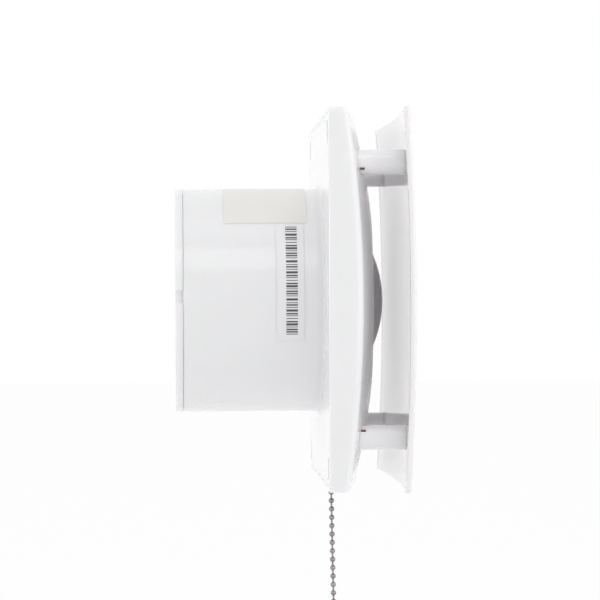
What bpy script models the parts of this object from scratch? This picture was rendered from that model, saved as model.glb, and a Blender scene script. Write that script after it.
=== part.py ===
"""Bathroom exhaust fan with a domed front panel, back-draught damper and pull chain.

Frame: metres, +Z up. The duct axis is X, the room is at +X and the duct at -X. The origin is
where the duct axis crosses the wall plane. The humidity sensor's holes are on the -Y side, the
mains terminals on the +Y side and the pull chain at the bottom.
"""

import math

import bmesh
import bpy
from mathutils import Matrix, Vector

# Clearances
GAP = 0.0003                   # left between pieces that touch
RUNNING_GAP = 0.0003           # round a pin, screw or shaft
COVER_FIT = 0.0004             # cover to base skirt
FLAP_FIT = 0.0004              # damper flap to its sleeve
GUIDE_FIT = 0.0007             # chain to its guide

# Duct spigot and base moulding
SPIGOT_DIAMETER = 0.0985
SPIGOT_WALL = 0.0018
SPIGOT_LENGTH = 0.0603         # behind the wall plane, without the damper collar
DUCT_FRONT = 0.0112            # how far the duct wall reaches into the cover
FLOOR = 0.0022
SKIRT_HEIGHT = 0.0036
SKIRT_WALL = 0.0016
WINDOW_DUCT_GAP = 0.0043       # wiring window, from the duct
WINDOW_SKIRT_GAP = 0.0045      # and from the skirt
WINDOW_POST_GAP = 0.0068       # below the nearest post
WINDOW_HEIGHT = 0.0160
KEYHOLE_INSET = 0.0095         # middle of a wall screw slot from the cover's sides
KEYHOLE_LENGTH = 0.009
KEYHOLE_WIDTH = 0.0040

# Front cover
COVER_SIDE = 0.160
COVER_CORNER = 0.004
COVER_WALL = 0.0020
COVER_CROWN = 0.0249           # height of the dome at the middle, if it ran through
COVER_EDGE = 0.0139            # height at the middle of a side
COVER_CORNER_HEIGHT = 0.0080
COVER_ROUNDING = 0.0022
INLET_STEP = 0.00075           # inlet's radius over the spigot's
INLET_LIP = 0.0016
INLET_COLLAR_WALL = 0.0020
SENSOR_HOLES = 6
SENSOR_HOLE_DIAMETER = 0.0012
SENSOR_HOLE_PITCH = 0.0021
SENSOR_INSET = 0.0200          # middle of the sensor holes from the cover's side
SENSOR_POST_RISE = 0.0201      # and above the lower posts' middle

# Front panel and its posts
PANEL_OVERHANG = 0.0004         # panel past the cover on each side
PANEL_CORNER = 0.004
PANEL_THICKNESS = 0.0026
PANEL_CROWN = 0.0365           # rear surface at the middle
PANEL_EDGE = 0.0339
PANEL_CORNER_HEIGHT = 0.0313
POST_SIDE_INSET = 0.018        # post's middle from the cover's sides
POST_END_INSET = 0.022         # and from its top and bottom
POST_DIAMETER = 0.0104
STUD_DIAMETER = 0.0052
STUD_LENGTH = 0.0058
PEG_DIAMETER = 0.0056
PEG_LENGTH = 0.0130
PAD_DEPTH = 0.0006             # panel pad proud of the panel at a post
POST_SLOT_LENGTH = 0.0021
POST_SLOT_HEIGHT = 0.0010
POST_SLOT_RISE = 0.0030        # slot from the post's middle, towards the axis
POST_SLOT_DEPTH = 0.0014

# Inlet guard and its cap
GUARD_RIM = 0.0017
GUARD_DEPTH = 0.0061
GUARD_RIB = 0.0014
GUARD_RIB_DEPTH = 0.0034
GUARD_RIBS = 8
GUARD_RING_SHARES = (0.382, 0.732)     # of the way from the plate to the rim
GUARD_LIP = 0.0018             # rim that centres the cap, above the plate
CAP_DIAMETER = 0.0500
CAP_WALL = 0.0014
CAP_SKIRT = 0.0037
CAP_RISE = 0.0065

# Motor cup and motor
CUP_RADIUS = 0.0250
CUP_WALL = 0.0016
CUP_FRONT = 0.0120
CUP_BACK = -0.0220
SPOKES = 4
SPOKE_THICKNESS = 0.0024
SPOKE_LENGTH = 0.0120
HOOP_WALL = 0.0012
CORE_RADIUS = 0.0226
CORE_INNER = 0.0182
CORE_LENGTH = 0.0120
CORE_MIDDLE = -0.0050
POLE_WIDTH = 0.0090
SHOE_WIDTH = 0.0150
SHOE_REACH = 0.0121
ROTOR_RADIUS = 0.0103
COIL_BUILD = 0.0028            # winding thickness round the pole
COIL_HEIGHT = 0.0036
SHAFT_DIAMETER = 0.0032
BEARING_DIAMETER = 0.0080
BEARING_LENGTH = 0.0050
BRACKET_STAND = 0.0050         # bracket plate from the core
BRACKET_PLATE = 0.0020
BRACKET_WIDTH = 0.0100
BRACKET_END = 0.0018           # bracket past its screw
BRACKET_FOOT = 0.0080
BRACKET_BOSS = 0.0060
BRACKET_BOSS_LENGTH = 0.0040
MOTOR_SCREW_RADIUS = 0.0204    # from the axis to a motor screw
MOTOR_SCREW_DIAMETER = 0.0024
MOTOR_SCREW_HEAD = 0.0052
MOTOR_SCREW_HEAD_HEIGHT = 0.0017

# Impeller
BLADES = 7
HUB_RADIUS = 0.0170
HUB_LENGTH = 0.0170
HUB_WALL = 0.0016
HUB_FRONT = -0.0260
HUB_BOSS = 0.0045
HUB_BOSS_LENGTH = 0.0185
BLADE_TIP_GAP = 0.0015
BLADE_ROOT_CHORD = 0.0170
BLADE_TIP_CHORD = 0.0240
BLADE_ROOT_ANGLE = math.radians(40.0)
BLADE_TIP_ANGLE = math.radians(24.0)
BLADE_THICKNESS = 0.0017
BLADE_CAMBER = 0.06
BLADE_SWEEP = 0.12             # how far the tip trails the root, in radians
CLIP_DIAMETER = 0.0090
CLIP_THICKNESS = 0.0015
CLIP_TOP = 0.0065

# Back-draught damper
COLLAR_WIDTH = 0.0031
SLEEVE_LENGTH = 0.0116
SLEEVE_WALL = 0.00155
LEDGE_WIDTH = 0.0020
LEDGE_THICKNESS = 0.0020
NOTCH_HEIGHT = 0.0053
NOTCH_RISE = 0.0016
NOTCH_DEPTH = 0.0008
AXLE_DIAMETER = 0.0025
AXLE_INSET = 0.0011            # axle from the collar's front
FLAP_THICKNESS = 0.0009
FLAP_OFFSET = 0.0005           # flap's outer face in front of the axle
KNUCKLE_DIAMETER = 0.0052
KNUCKLE_LENGTH = 0.0100
UPPER_KNUCKLES = (-0.0380, 0.0100)
LOWER_KNUCKLES = (-0.0200, 0.0280)
SPRING_WIRE = 0.0006
SPRING_COIL_RADIUS = 0.0021
SPRING_TURNS = 4
SPRING_PITCH = 0.0012
SPRING_INNER = 0.0014          # nearest turn from the middle
SPRING_LEG = 0.0110

# Pull switch and chain
CHAIN_X = 0.0050
CHAIN_DIAMETER = 0.0024
CHAIN_LENGTH = 0.1250
CHAIN_LEAN = 0.0026            # how far forward the chain's end hangs
CHAIN_POINTS = 21
SWITCH_WIDTH = 0.0220
SWITCH_HEIGHT = 0.0170
SWITCH_DEPTH = 0.0085
SWITCH_EDGE = 0.0050           # switch from the cover's bottom
SWITCH_WALL = 0.0015
SWITCH_BACK = 0.0010
LID_THICKNESS = 0.0012
SLIDER_WIDTH = 0.0140
SLIDER_HEIGHT = 0.0030
SLIDER_STEM = 0.0024
RETURN_WIRE = 0.0005
RETURN_RADIUS = 0.0022
RETURN_TURNS = 5
RETURN_Y = 0.0040
RETURN_X = 0.0073
GUIDE_WALL = 0.0007
GUIDE_FLANGE = 0.0010
GUIDE_FLANGE_THICKNESS = 0.0006
GUIDE_INSIDE = 0.0003          # how far the guide reaches past the cover's wall
PULL_DIAMETER = 0.0090
PULL_LENGTH = 0.0180

# Mains terminal block and cable clamp
BLOCK_SHIFT = 0.000625         # block's middle, inward of half way from duct to skirt
BLOCK_POST_RISE = 0.0160       # block's lower end above the lower post's middle
BLOCK_WIDTH = 0.0160
BLOCK_LENGTH = 0.0260
BLOCK_HEIGHT = 0.0092
TERMINALS = 3
TERMINAL_PITCH = 0.0080
TERMINAL_WELL = 0.0040
TERMINAL_WELL_DEPTH = 0.0050
WIRE_HOLE = 0.0030
WIRE_LEVEL = 0.0026            # wire holes above the block's back
CLAMP_INSET = 0.0170           # clamp's middle from the cover's side
CLAMP_WINDOW_GAP = 0.0040      # clamp below the wiring window
CLAMP_SPAN = 0.0160            # between its screws
CLAMP_WIDTH = 0.0060
CLAMP_THICKNESS = 0.0024
CLAMP_RIDGE = 0.0029
CLAMP_BOSS = 0.0050
CLAMP_BOSS_HEIGHT = 0.0030

# Control board
BOARD_EDGE = 0.0050            # board from the cover's side
BOARD_POST_GAP = 0.0023        # board above the lower post
BOARD_WIDTH = 0.0205
BOARD_LENGTH = 0.0460
BOARD_THICKNESS = 0.0016
BOARD_RISE = 0.0012            # boss height above the floor
BOARD_SCREW_INSET = 0.0028     # from the board's outer corners
BOARD_DUCT_GAP = 0.0015
BOARD_BOSS = 0.0050
SENSOR_SIZE = (0.0050, 0.0080, 0.0080)
CAPACITOR_SIZE = (0.0064, 0.0060, 0.0140)
CAPACITOR_INSET = 0.0012       # from the board's outer edge
CAPACITOR_DROP = 0.0055        # from the board's top to its own
RELAY_SIZE = (0.0060, 0.0075, 0.0120)
RELAY_INSET = 0.00125
RELAY_DROP = 0.0030            # from the capacitor's bottom
TRIMMER_SIZE = (0.0036, 0.0064, 0.0064)
COMPONENT_EDGE = 0.0003
TRIMMER_SHARE = 0.57           # of its room between relay and board edge, from the relay
TRIMMER_DROP = 0.0125          # from the board's top to the upper one's middle
TRIMMER_PITCH = 0.0090
KNOB_DIAMETER = 0.0048
KNOB_HEIGHT = 0.0015
KNOB_SLOT = 0.0008

# Small screws
SMALL_SCREW_DIAMETER = 0.0022
SMALL_SCREW_HEAD = 0.0040
SMALL_SCREW_HEAD_HEIGHT = 0.0014
COVER_SCREW_DIAMETER = 0.0028
COVER_SCREW_HEAD = 0.0056
COVER_SCREW_HEAD_HEIGHT = 0.0017
SCREW_RIM_SHARE = 0.6          # of the head's height, below its rounded top
SCREW_TOP_SHARE = 0.36         # of the head's diameter
SCREW_SLOT_SHARE = 0.09
COVER_SCREW_INSET = 0.0160     # from the cover's edge
COVER_SCREW_RISE = 0.0040      # side screw above the axis
COVER_BOSS = 0.0068
COVER_PILLAR = 0.0080          # the cover's own boss, round the screw head
COVER_BOSS_GAP_X = 0.0100      # where the base's boss ends and the cover's begins
COVER_SCREW_SEAT = 0.0125

# Internal leads
LEAD_DIAMETER = 0.0016
LEAD_TAIL = 0.0035             # straight end of each lead
SUPPLY_INSETS = (0.0193, 0.0341)       # of its bends, inward of the posts
SUPPLY_RISES = (0.0160, 0.0050)
SWITCHED_INSET = 0.0308
SWITCHED_RISE = 0.0060

# Mesh fineness
SIDE_STEPS = 9
CORNER_STEPS = 2
ROUND = 30
MEDIUM_ROUND = 16
SMALL_ROUND = 10
COIL_STEPS = 8

# Derived places
SPIGOT_RADIUS = SPIGOT_DIAMETER / 2
DUCT_RADIUS = SPIGOT_RADIUS - SPIGOT_WALL
INLET_RADIUS = SPIGOT_RADIUS + INLET_STEP
COVER_HALF = COVER_SIDE / 2
PANEL_SIDE = COVER_SIDE + 2 * PANEL_OVERHANG
POST_Y = COVER_HALF - POST_SIDE_INSET
POST_Z = COVER_HALF - POST_END_INSET
COVER_SCREWS = ((0.0, COVER_HALF - COVER_SCREW_INSET),
                (COVER_HALF - COVER_SCREW_INSET, COVER_SCREW_RISE))
KEYHOLE_PLACE = COVER_HALF - KEYHOLE_INSET
WINDOW_TOP = POST_Z - POST_DIAMETER / 2 - WINDOW_POST_GAP
SENSOR_Y = -(COVER_HALF - SENSOR_INSET)
SENSOR_Z = -(POST_Z - SENSOR_POST_RISE)
BASE_HALF = COVER_HALF - COVER_WALL - COVER_FIT
WINDOW_YS = (SPIGOT_RADIUS + WINDOW_DUCT_GAP, BASE_HALF - SKIRT_WALL - WINDOW_SKIRT_GAP)
BASE_CORNER = COVER_CORNER - COVER_WALL
COLLAR_FRONT = -SPIGOT_LENGTH - GAP
COLLAR_BACK = COLLAR_FRONT - COLLAR_WIDTH
AXLE_X = COLLAR_FRONT + AXLE_INSET
SLEEVE_RADIUS = DUCT_RADIUS - RUNNING_GAP
SLEEVE_INNER = SLEEVE_RADIUS - SLEEVE_WALL
GUARD_BACK = DUCT_FRONT + GAP
GUARD_RADIUS = INLET_RADIUS - INLET_LIP - RUNNING_GAP
GUARD_FRONT = GUARD_BACK + GUARD_DEPTH
CAP_BASE = GUARD_FRONT + GAP
CORE_FRONT = CORE_MIDDLE + CORE_LENGTH / 2
CORE_BACK = CORE_MIDDLE - CORE_LENGTH / 2
PAD_X = PANEL_CROWN - (PANEL_CROWN - PANEL_EDGE) * (POST_Y ** 2 + POST_Z ** 2) / (
    PANEL_SIDE / 2) ** 2 - PAD_DEPTH
POST_FRONT = PAD_X - GAP
SWITCH_BASE_X = FLOOR + GAP
SWITCH_BOTTOM = COVER_HALF - SWITCH_EDGE
SWITCH_TOP = SWITCH_BOTTOM - SWITCH_HEIGHT
CLAMP_Y = COVER_HALF - CLAMP_INSET
CLAMP_Z = WINDOW_TOP - WINDOW_HEIGHT - CLAMP_WINDOW_GAP - CLAMP_WIDTH / 2
BLOCK_Y = (SPIGOT_RADIUS + BASE_HALF - SKIRT_WALL - BLOCK_WIDTH) / 2 - BLOCK_SHIFT
BLOCK_Z = -(POST_Z - BLOCK_POST_RISE)
BOARD_Y = -(COVER_HALF - BOARD_EDGE)
BOARD_Z = -(POST_Z - POST_DIAMETER / 2 - BOARD_POST_GAP)
BOARD_RELIEF = SPIGOT_RADIUS + BOARD_DUCT_GAP
BOARD_SCREWS = ((BOARD_Y + BOARD_SCREW_INSET, BOARD_Z + BOARD_SCREW_INSET),
                (BOARD_Y + BOARD_SCREW_INSET, BOARD_Z + BOARD_LENGTH - BOARD_SCREW_INSET))
BOARD_TOP = BOARD_Z + BOARD_LENGTH
CAPACITOR_PLACE = (BOARD_Y + CAPACITOR_INSET + CAPACITOR_SIZE[1] / 2,
                   BOARD_TOP - CAPACITOR_DROP - CAPACITOR_SIZE[2] / 2)
RELAY_PLACE = (BOARD_Y + RELAY_INSET + RELAY_SIZE[1] / 2,
               CAPACITOR_PLACE[1] - CAPACITOR_SIZE[2] / 2 - RELAY_DROP - RELAY_SIZE[2] / 2)
RELAY_EDGE = RELAY_PLACE[0] + RELAY_SIZE[1] / 2
BOARD_INNER = min(BOARD_Y + BOARD_WIDTH, -BOARD_RELIEF)
TRIMMER_Y = (RELAY_EDGE + TRIMMER_SHARE * (BOARD_INNER - RELAY_EDGE - TRIMMER_SIZE[1])
             + TRIMMER_SIZE[1] / 2)
TRIMMER_ZS = (BOARD_TOP - TRIMMER_DROP - TRIMMER_PITCH, BOARD_TOP - TRIMMER_DROP)
BOARD_BACK = FLOOR + BOARD_RISE + GAP
BOARD_FRONT = BOARD_BACK + BOARD_THICKNESS
PARTS_ON_BOARD = BOARD_FRONT + GAP
STEM_END = -COVER_HALF + COVER_WALL
CHAIN_TOP = STEM_END - GAP
SLIDER_TOP = -SWITCH_TOP - SWITCH_WALL - GAP


def clear_scene():
    for thing in list(bpy.data.objects):
        bpy.data.objects.remove(thing)


def plastic(name, colour, roughness, metallic=0.0):
    made = bpy.data.materials.new(name)
    made.use_nodes = True
    shader = made.node_tree.nodes["Principled BSDF"]
    shader.inputs["Base Color"].default_value = (*colour, 1.0)
    shader.inputs["Roughness"].default_value = roughness
    shader.inputs["Metallic"].default_value = metallic
    return made


def finish_mesh(name, mesh, finish):
    """Make an object of a mesh, with its faces turned outward and its round sides smooth."""
    shape = bmesh.new()
    shape.from_mesh(mesh)
    bmesh.ops.remove_doubles(shape, verts=shape.verts, dist=1e-6)
    bmesh.ops.recalc_face_normals(shape, faces=shape.faces)
    shape.to_mesh(mesh)
    shape.free()
    mesh.shade_smooth()
    mesh.set_sharp_from_angle(angle=math.radians(35.0))
    thing = bpy.data.objects.new(name, mesh)
    bpy.context.scene.collection.objects.link(thing)
    if finish is not None:
        mesh.materials.append(finish)
    return thing


def from_faces(name, points, faces, finish=None):
    mesh = bpy.data.meshes.new(name)
    mesh.from_pydata([tuple(p) for p in points], [], faces)
    return finish_mesh(name, mesh, finish)


def ring_loft(name, loops, finish=None):
    """A ring-shaped solid through closed loops of equal count, the last joined to the first."""
    count = len(loops[0])
    points = [p for loop in loops for p in loop]
    faces = []
    for i in range(len(loops)):
        here = i * count
        there = (i + 1) % len(loops) * count
        for k in range(count):
            n = (k + 1) % count
            faces.append((here + k, here + n, there + n, there + k))
    return from_faces(name, points, faces, finish)


def dome_loft(name, first, loops, last, finish=None):
    """A solid through closed loops that starts at one point and ends at another."""
    count = len(loops[0])
    points = [p for loop in loops for p in loop] + [first, last]
    start = len(points) - 2
    end = len(points) - 1
    back = (len(loops) - 1) * count
    faces = [(start, k, (k + 1) % count) for k in range(count)]
    for i in range(len(loops) - 1):
        here = i * count
        there = here + count
        for k in range(count):
            n = (k + 1) % count
            faces.append((here + k, here + n, there + n, there + k))
    faces += [(end, back + (k + 1) % count, back + k) for k in range(count)]
    return from_faces(name, points, faces, finish)


def circle(radius, x, count=ROUND, y=0.0, z=0.0):
    turns = [2 * math.pi * k / count for k in range(count)]
    return [Vector((x, y + radius * math.cos(a), z + radius * math.sin(a))) for a in turns]


def turned(name, profile, finish=None, count=ROUND, y=0.0, z=0.0):
    """A solid turned about an X axis from (x, radius) points; radius 0 at both ends closes it."""
    if profile[0][1] == 0:
        loops = [circle(r, x, count, y, z) for x, r in profile[1:-1]]
        first = Vector((profile[0][0], y, z))
        last = Vector((profile[-1][0], y, z))
        return dome_loft(name, first, loops, last, finish)
    return ring_loft(name, [circle(r, x, count, y, z) for x, r in profile], finish)


def rod(name, radius, start, end, finish=None, count=SMALL_ROUND):
    """A plain round bar between two points."""
    start = Vector(start)
    end = Vector(end)
    axis = end - start
    turn = Vector((1, 0, 0)).rotation_difference(axis.normalized()).to_matrix()
    loops = [[start + turn @ p for p in circle(radius, x, count)] for x in (0.0, axis.length)]
    return dome_loft(name, start, loops, end, finish)


def block(name, low, high, finish=None, bevel=0.0):
    low = Vector(low)
    high = Vector(high)
    shape = bmesh.new()
    bmesh.ops.create_cube(shape, size=1.0)
    size = high - low
    bmesh.ops.scale(shape, vec=size, verts=shape.verts)
    bmesh.ops.translate(shape, vec=(low + high) / 2, verts=shape.verts)
    if bevel:
        bmesh.ops.bevel(shape, geom=shape.edges[:], offset=bevel, segments=2, affect="EDGES",
                        profile=0.5)
    mesh = bpy.data.meshes.new(name)
    shape.to_mesh(mesh)
    shape.free()
    return finish_mesh(name, mesh, finish)


def least_gap(name, path, diameter, apart):
    """Print how close a wound wire comes to itself, between points at least apart steps away."""
    least = min((a - b).length for k, a in enumerate(path) for b in path[k + apart:])
    print(f"{name}: least gap between turns {(least - diameter) * 1000:.2f} mm")


def wire(name, path, diameter, finish, resolution=2):
    """A round wire or cord along a list of points."""
    curve = bpy.data.curves.new(name, "CURVE")
    curve.dimensions = "3D"
    curve.bevel_depth = diameter / 2
    curve.bevel_resolution = resolution
    curve.use_fill_caps = True
    spline = curve.splines.new("POLY")
    spline.points.add(len(path) - 1)
    for place, point in zip(spline.points, path):
        place.co = (*point, 1.0)
    curve.materials.append(finish)
    thing = bpy.data.objects.new(name, curve)
    bpy.context.scene.collection.objects.link(thing)
    return thing


def through(points, steps):
    """Points on a smooth curve through the given ones."""
    points = [Vector(p) for p in points]
    before = points[:1] + points[:-1]
    after = points[1:] + points[-1:]
    ways = [(b - a).normalized() for a, b in zip(before, after)]
    path = []
    for a, b, way_a, way_b in zip(points, points[1:], ways, ways[1:]):
        length = (b - a).length
        for k in range(steps):
            t = k / steps
            path.append(a * (2 * t ** 3 - 3 * t ** 2 + 1) + b * (3 * t ** 2 - 2 * t ** 3)
                        + way_a * length * (t ** 3 - 2 * t ** 2 + t)
                        + way_b * length * (t ** 3 - t ** 2))
    return path + [points[-1]]


def boolean(target, tool, operation):
    """Cut a tool from a solid, or join it, and leave the tool as a guide."""
    step = target.modifiers.new(tool.name, "BOOLEAN")
    step.operation = operation
    step.solver = "EXACT"
    step.object = tool
    tool.hide_render = True
    tool.display_type = "WIRE"


def cut(target, *tools):
    for tool in tools:
        boolean(target, tool, "DIFFERENCE")


def join(target, *tools):
    for tool in tools:
        boolean(target, tool, "UNION")


def together(name, pieces):
    """One object of several separate shapes, to use as a single tool."""
    mesh = bpy.data.meshes.new(name)
    shape = bmesh.new()
    for piece in pieces:
        shape.from_mesh(piece.data)
        bpy.data.objects.remove(piece)
    shape.to_mesh(mesh)
    shape.free()
    thing = bpy.data.objects.new(name, mesh)
    bpy.context.scene.collection.objects.link(thing)
    return thing


def set_origin(thing, place):
    """Put a moving piece's origin on its joint without moving the piece."""
    place = Vector(place)
    thing.data.transform(Matrix.Translation(-place))
    thing.location = place


def pillow(y, z, half, crown, edge, corner):
    """Height of a square dome that is domed both ways."""
    a = (y / half) ** 2
    b = (z / half) ** 2
    return crown - (crown - edge) * (a + b) + (crown - 2 * edge + corner) * a * b


def cover_height(y, z):
    return pillow(y, z, COVER_HALF, COVER_CROWN, COVER_EDGE, COVER_CORNER_HEIGHT)


def panel_height(y, z):
    return pillow(y, z, PANEL_SIDE / 2, PANEL_CROWN, PANEL_EDGE, PANEL_CORNER_HEIGHT)


def square_angles():
    """Directions round a rounded square, closer together at its corners."""
    reach = math.atan((COVER_HALF - COVER_CORNER) / COVER_HALF)
    bend = math.pi / 2 - 2 * reach
    angles = []
    for side in range(4):
        middle = side * math.pi / 2
        angles += [middle + reach * (2 * k / (SIDE_STEPS - 1) - 1) for k in range(SIDE_STEPS)]
        angles += [middle + reach + bend * k / (CORNER_STEPS + 1)
                   for k in range(1, CORNER_STEPS + 1)]
    return angles


def square_radius(angle, half, corner):
    """Distance from the middle to a rounded square's side in one direction."""
    folded = abs((angle + math.pi / 4) % (math.pi / 2) - math.pi / 4)
    centre = half - corner
    if half * math.tan(folded) <= centre:
        return half / math.cos(folded)
    spread = math.cos(folded) + math.sin(folded)
    inside = max(0.0, centre ** 2 * (spread ** 2 - 2) + corner ** 2)
    return centre * spread + math.sqrt(inside)


def square_loop(half, corner, height, share=1.0, inner=0.0):
    """A loop between a circle (share 0) and a rounded square (share 1).

    height is a number, or a function of y and z.
    """
    loop = []
    for angle in square_angles():
        outer = square_radius(angle, half, corner)
        radius = inner + (outer - inner) * share
        y = radius * math.cos(angle)
        z = radius * math.sin(angle)
        x = height(y, z) if callable(height) else height
        loop.append(Vector((x, y, z)))
    return loop


def duct_loop(radius, x):
    """A circle with its points in the square's directions, so that duct pieces nest."""
    return square_loop(BASE_HALF, BASE_CORNER, x, 0.0, radius)


def base(white):
    """Duct spigot, floor, skirt, studs and bosses, moulded in one."""
    moulding = ring_loft("base", [
        duct_loop(SPIGOT_RADIUS, -SPIGOT_LENGTH),
        duct_loop(SPIGOT_RADIUS, 0.0),
        square_loop(BASE_HALF, BASE_CORNER, 0.0),
        square_loop(BASE_HALF, BASE_CORNER, SKIRT_HEIGHT),
        square_loop(BASE_HALF - SKIRT_WALL, BASE_CORNER / 2, SKIRT_HEIGHT),
        square_loop(BASE_HALF - SKIRT_WALL, BASE_CORNER / 2, FLOOR),
        duct_loop(SPIGOT_RADIUS, FLOOR),
        duct_loop(SPIGOT_RADIUS, DUCT_FRONT),
        duct_loop(DUCT_RADIUS, DUCT_FRONT),
        duct_loop(DUCT_RADIUS, -SPIGOT_LENGTH),
    ], white)
    join(moulding, together("boss_forms", base_bosses()))
    cut(moulding, together("base_cuts", base_boss_holes() + base_windows()))
    return moulding


def motor_frame(white):
    """Motor cup, its spokes and the hoop that is pressed into the duct."""
    shaft_hole = HUB_BOSS - GAP
    back = CUP_BACK + CUP_WALL
    frame = turned("motor_frame", [
        (CUP_FRONT, CUP_RADIUS),
        (CUP_BACK, CUP_RADIUS),
        (CUP_BACK, shaft_hole),
        (back, shaft_hole),
        (back, CUP_RADIUS - CUP_WALL),
        (CUP_FRONT, CUP_RADIUS - CUP_WALL),
    ], white)
    hoop = DUCT_RADIUS - GAP
    join(frame, ring_loft("hoop_form", [
        duct_loop(hoop, back), duct_loop(hoop, back + SPOKE_LENGTH),
        duct_loop(hoop - HOOP_WALL, back + SPOKE_LENGTH), duct_loop(hoop - HOOP_WALL, back)]))
    join(frame, together("spoke_forms", [spoke(k) for k in range(SPOKES)]))
    sides = (-MOTOR_SCREW_RADIUS, MOTOR_SCREW_RADIUS)
    join(frame, together("motor_bosses", [
        rod("motor_boss", MOTOR_SCREW_HEAD / 2, (back - CUP_WALL / 2, side, 0.0),
            (CORE_BACK - BRACKET_STAND - BRACKET_PLATE - GAP, side, 0.0)) for side in sides]))
    cut(frame, together("motor_boss_holes", [
        rod("hole", MOTOR_SCREW_DIAMETER / 2 + RUNNING_GAP, (CUP_BACK + CUP_WALL / 4, side, 0.0),
            (CORE_BACK, side, 0.0)) for side in sides]))
    return frame


def spoke(number):
    """A flat vane from the motor cup to the hoop."""
    inset = GAP / 3
    vane = block("spoke", (CUP_BACK + CUP_WALL + inset, CUP_RADIUS - CUP_WALL / 2,
                           -SPOKE_THICKNESS / 2),
                 (CUP_BACK + CUP_WALL + SPOKE_LENGTH - inset,
                  DUCT_RADIUS - GAP - HOOP_WALL / 2, SPOKE_THICKNESS / 2))
    angle = math.pi / SPOKES + 2 * math.pi * number / SPOKES
    vane.data.transform(Matrix.Rotation(angle, 4, "X"))
    return vane


def base_bosses():
    """Studs under the posts and bosses for the screws, set into the floor."""
    root = FLOOR / 2
    forms = [rod("stud", STUD_DIAMETER / 2, (root, y, z), (FLOOR + STUD_LENGTH, y, z))
             for y, z in post_places()]
    forms += [rod("cover_boss", COVER_BOSS / 2, (root, y, z), (COVER_BOSS_GAP_X, y, z))
              for y, z in COVER_SCREWS]
    forms += [rod("board_boss", BOARD_BOSS / 2, (root, y, z), (FLOOR + BOARD_RISE, y, z))
              for y, z in BOARD_SCREWS]
    forms += [rod("clamp_boss", CLAMP_BOSS / 2, (root, y, CLAMP_Z),
                  (FLOOR + CLAMP_BOSS_HEIGHT, y, CLAMP_Z)) for y in clamp_screw_ys()]
    return forms


def base_boss_holes():
    """Screw holes down the bosses."""
    end = FLOOR / 2
    beyond = COVER_CROWN
    holes = [rod("hole", COVER_SCREW_DIAMETER / 2 + RUNNING_GAP, (end, y, z), (beyond, y, z))
             for y, z in COVER_SCREWS]
    holes += [rod("hole", SMALL_SCREW_DIAMETER / 2 + RUNNING_GAP, (end, y, z), (beyond, y, z))
              for y, z in BOARD_SCREWS]
    holes += [rod("hole", SMALL_SCREW_DIAMETER / 2 + RUNNING_GAP, (end, y, CLAMP_Z),
                  (beyond, y, CLAMP_Z)) for y in clamp_screw_ys()]
    return holes


def base_windows():
    """Wiring window beside the duct, four wall screw slots and the notch for the switch stem."""
    cuts = [block("window", (-FLOOR, WINDOW_YS[0], WINDOW_TOP - WINDOW_HEIGHT),
                  (2 * FLOOR, WINDOW_YS[1], WINDOW_TOP))]
    for side in (-1, 1):
        for level in (-1, 1):
            y = side * KEYHOLE_PLACE
            z = level * KEYHOLE_PLACE
            cuts.append(block("keyhole", (-FLOOR, y - KEYHOLE_WIDTH / 2, z - KEYHOLE_LENGTH / 2),
                              (2 * FLOOR, y + KEYHOLE_WIDTH / 2, z + KEYHOLE_LENGTH / 2)))
    stem = SLIDER_STEM / 2 + 2 * RUNNING_GAP
    cuts.append(block("stem_notch", (FLOOR + GAP, -stem, -BASE_HALF - SKIRT_WALL),
                      (2 * SKIRT_HEIGHT, stem, -BASE_HALF + 2 * SKIRT_WALL)))
    return cuts


def post_places():
    return [(y, z) for z in (POST_Z, -POST_Z) for y in (-POST_Y, POST_Y)]


def clamp_screw_ys():
    return (CLAMP_Y - CLAMP_SPAN / 2, CLAMP_Y + CLAMP_SPAN / 2)


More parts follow.
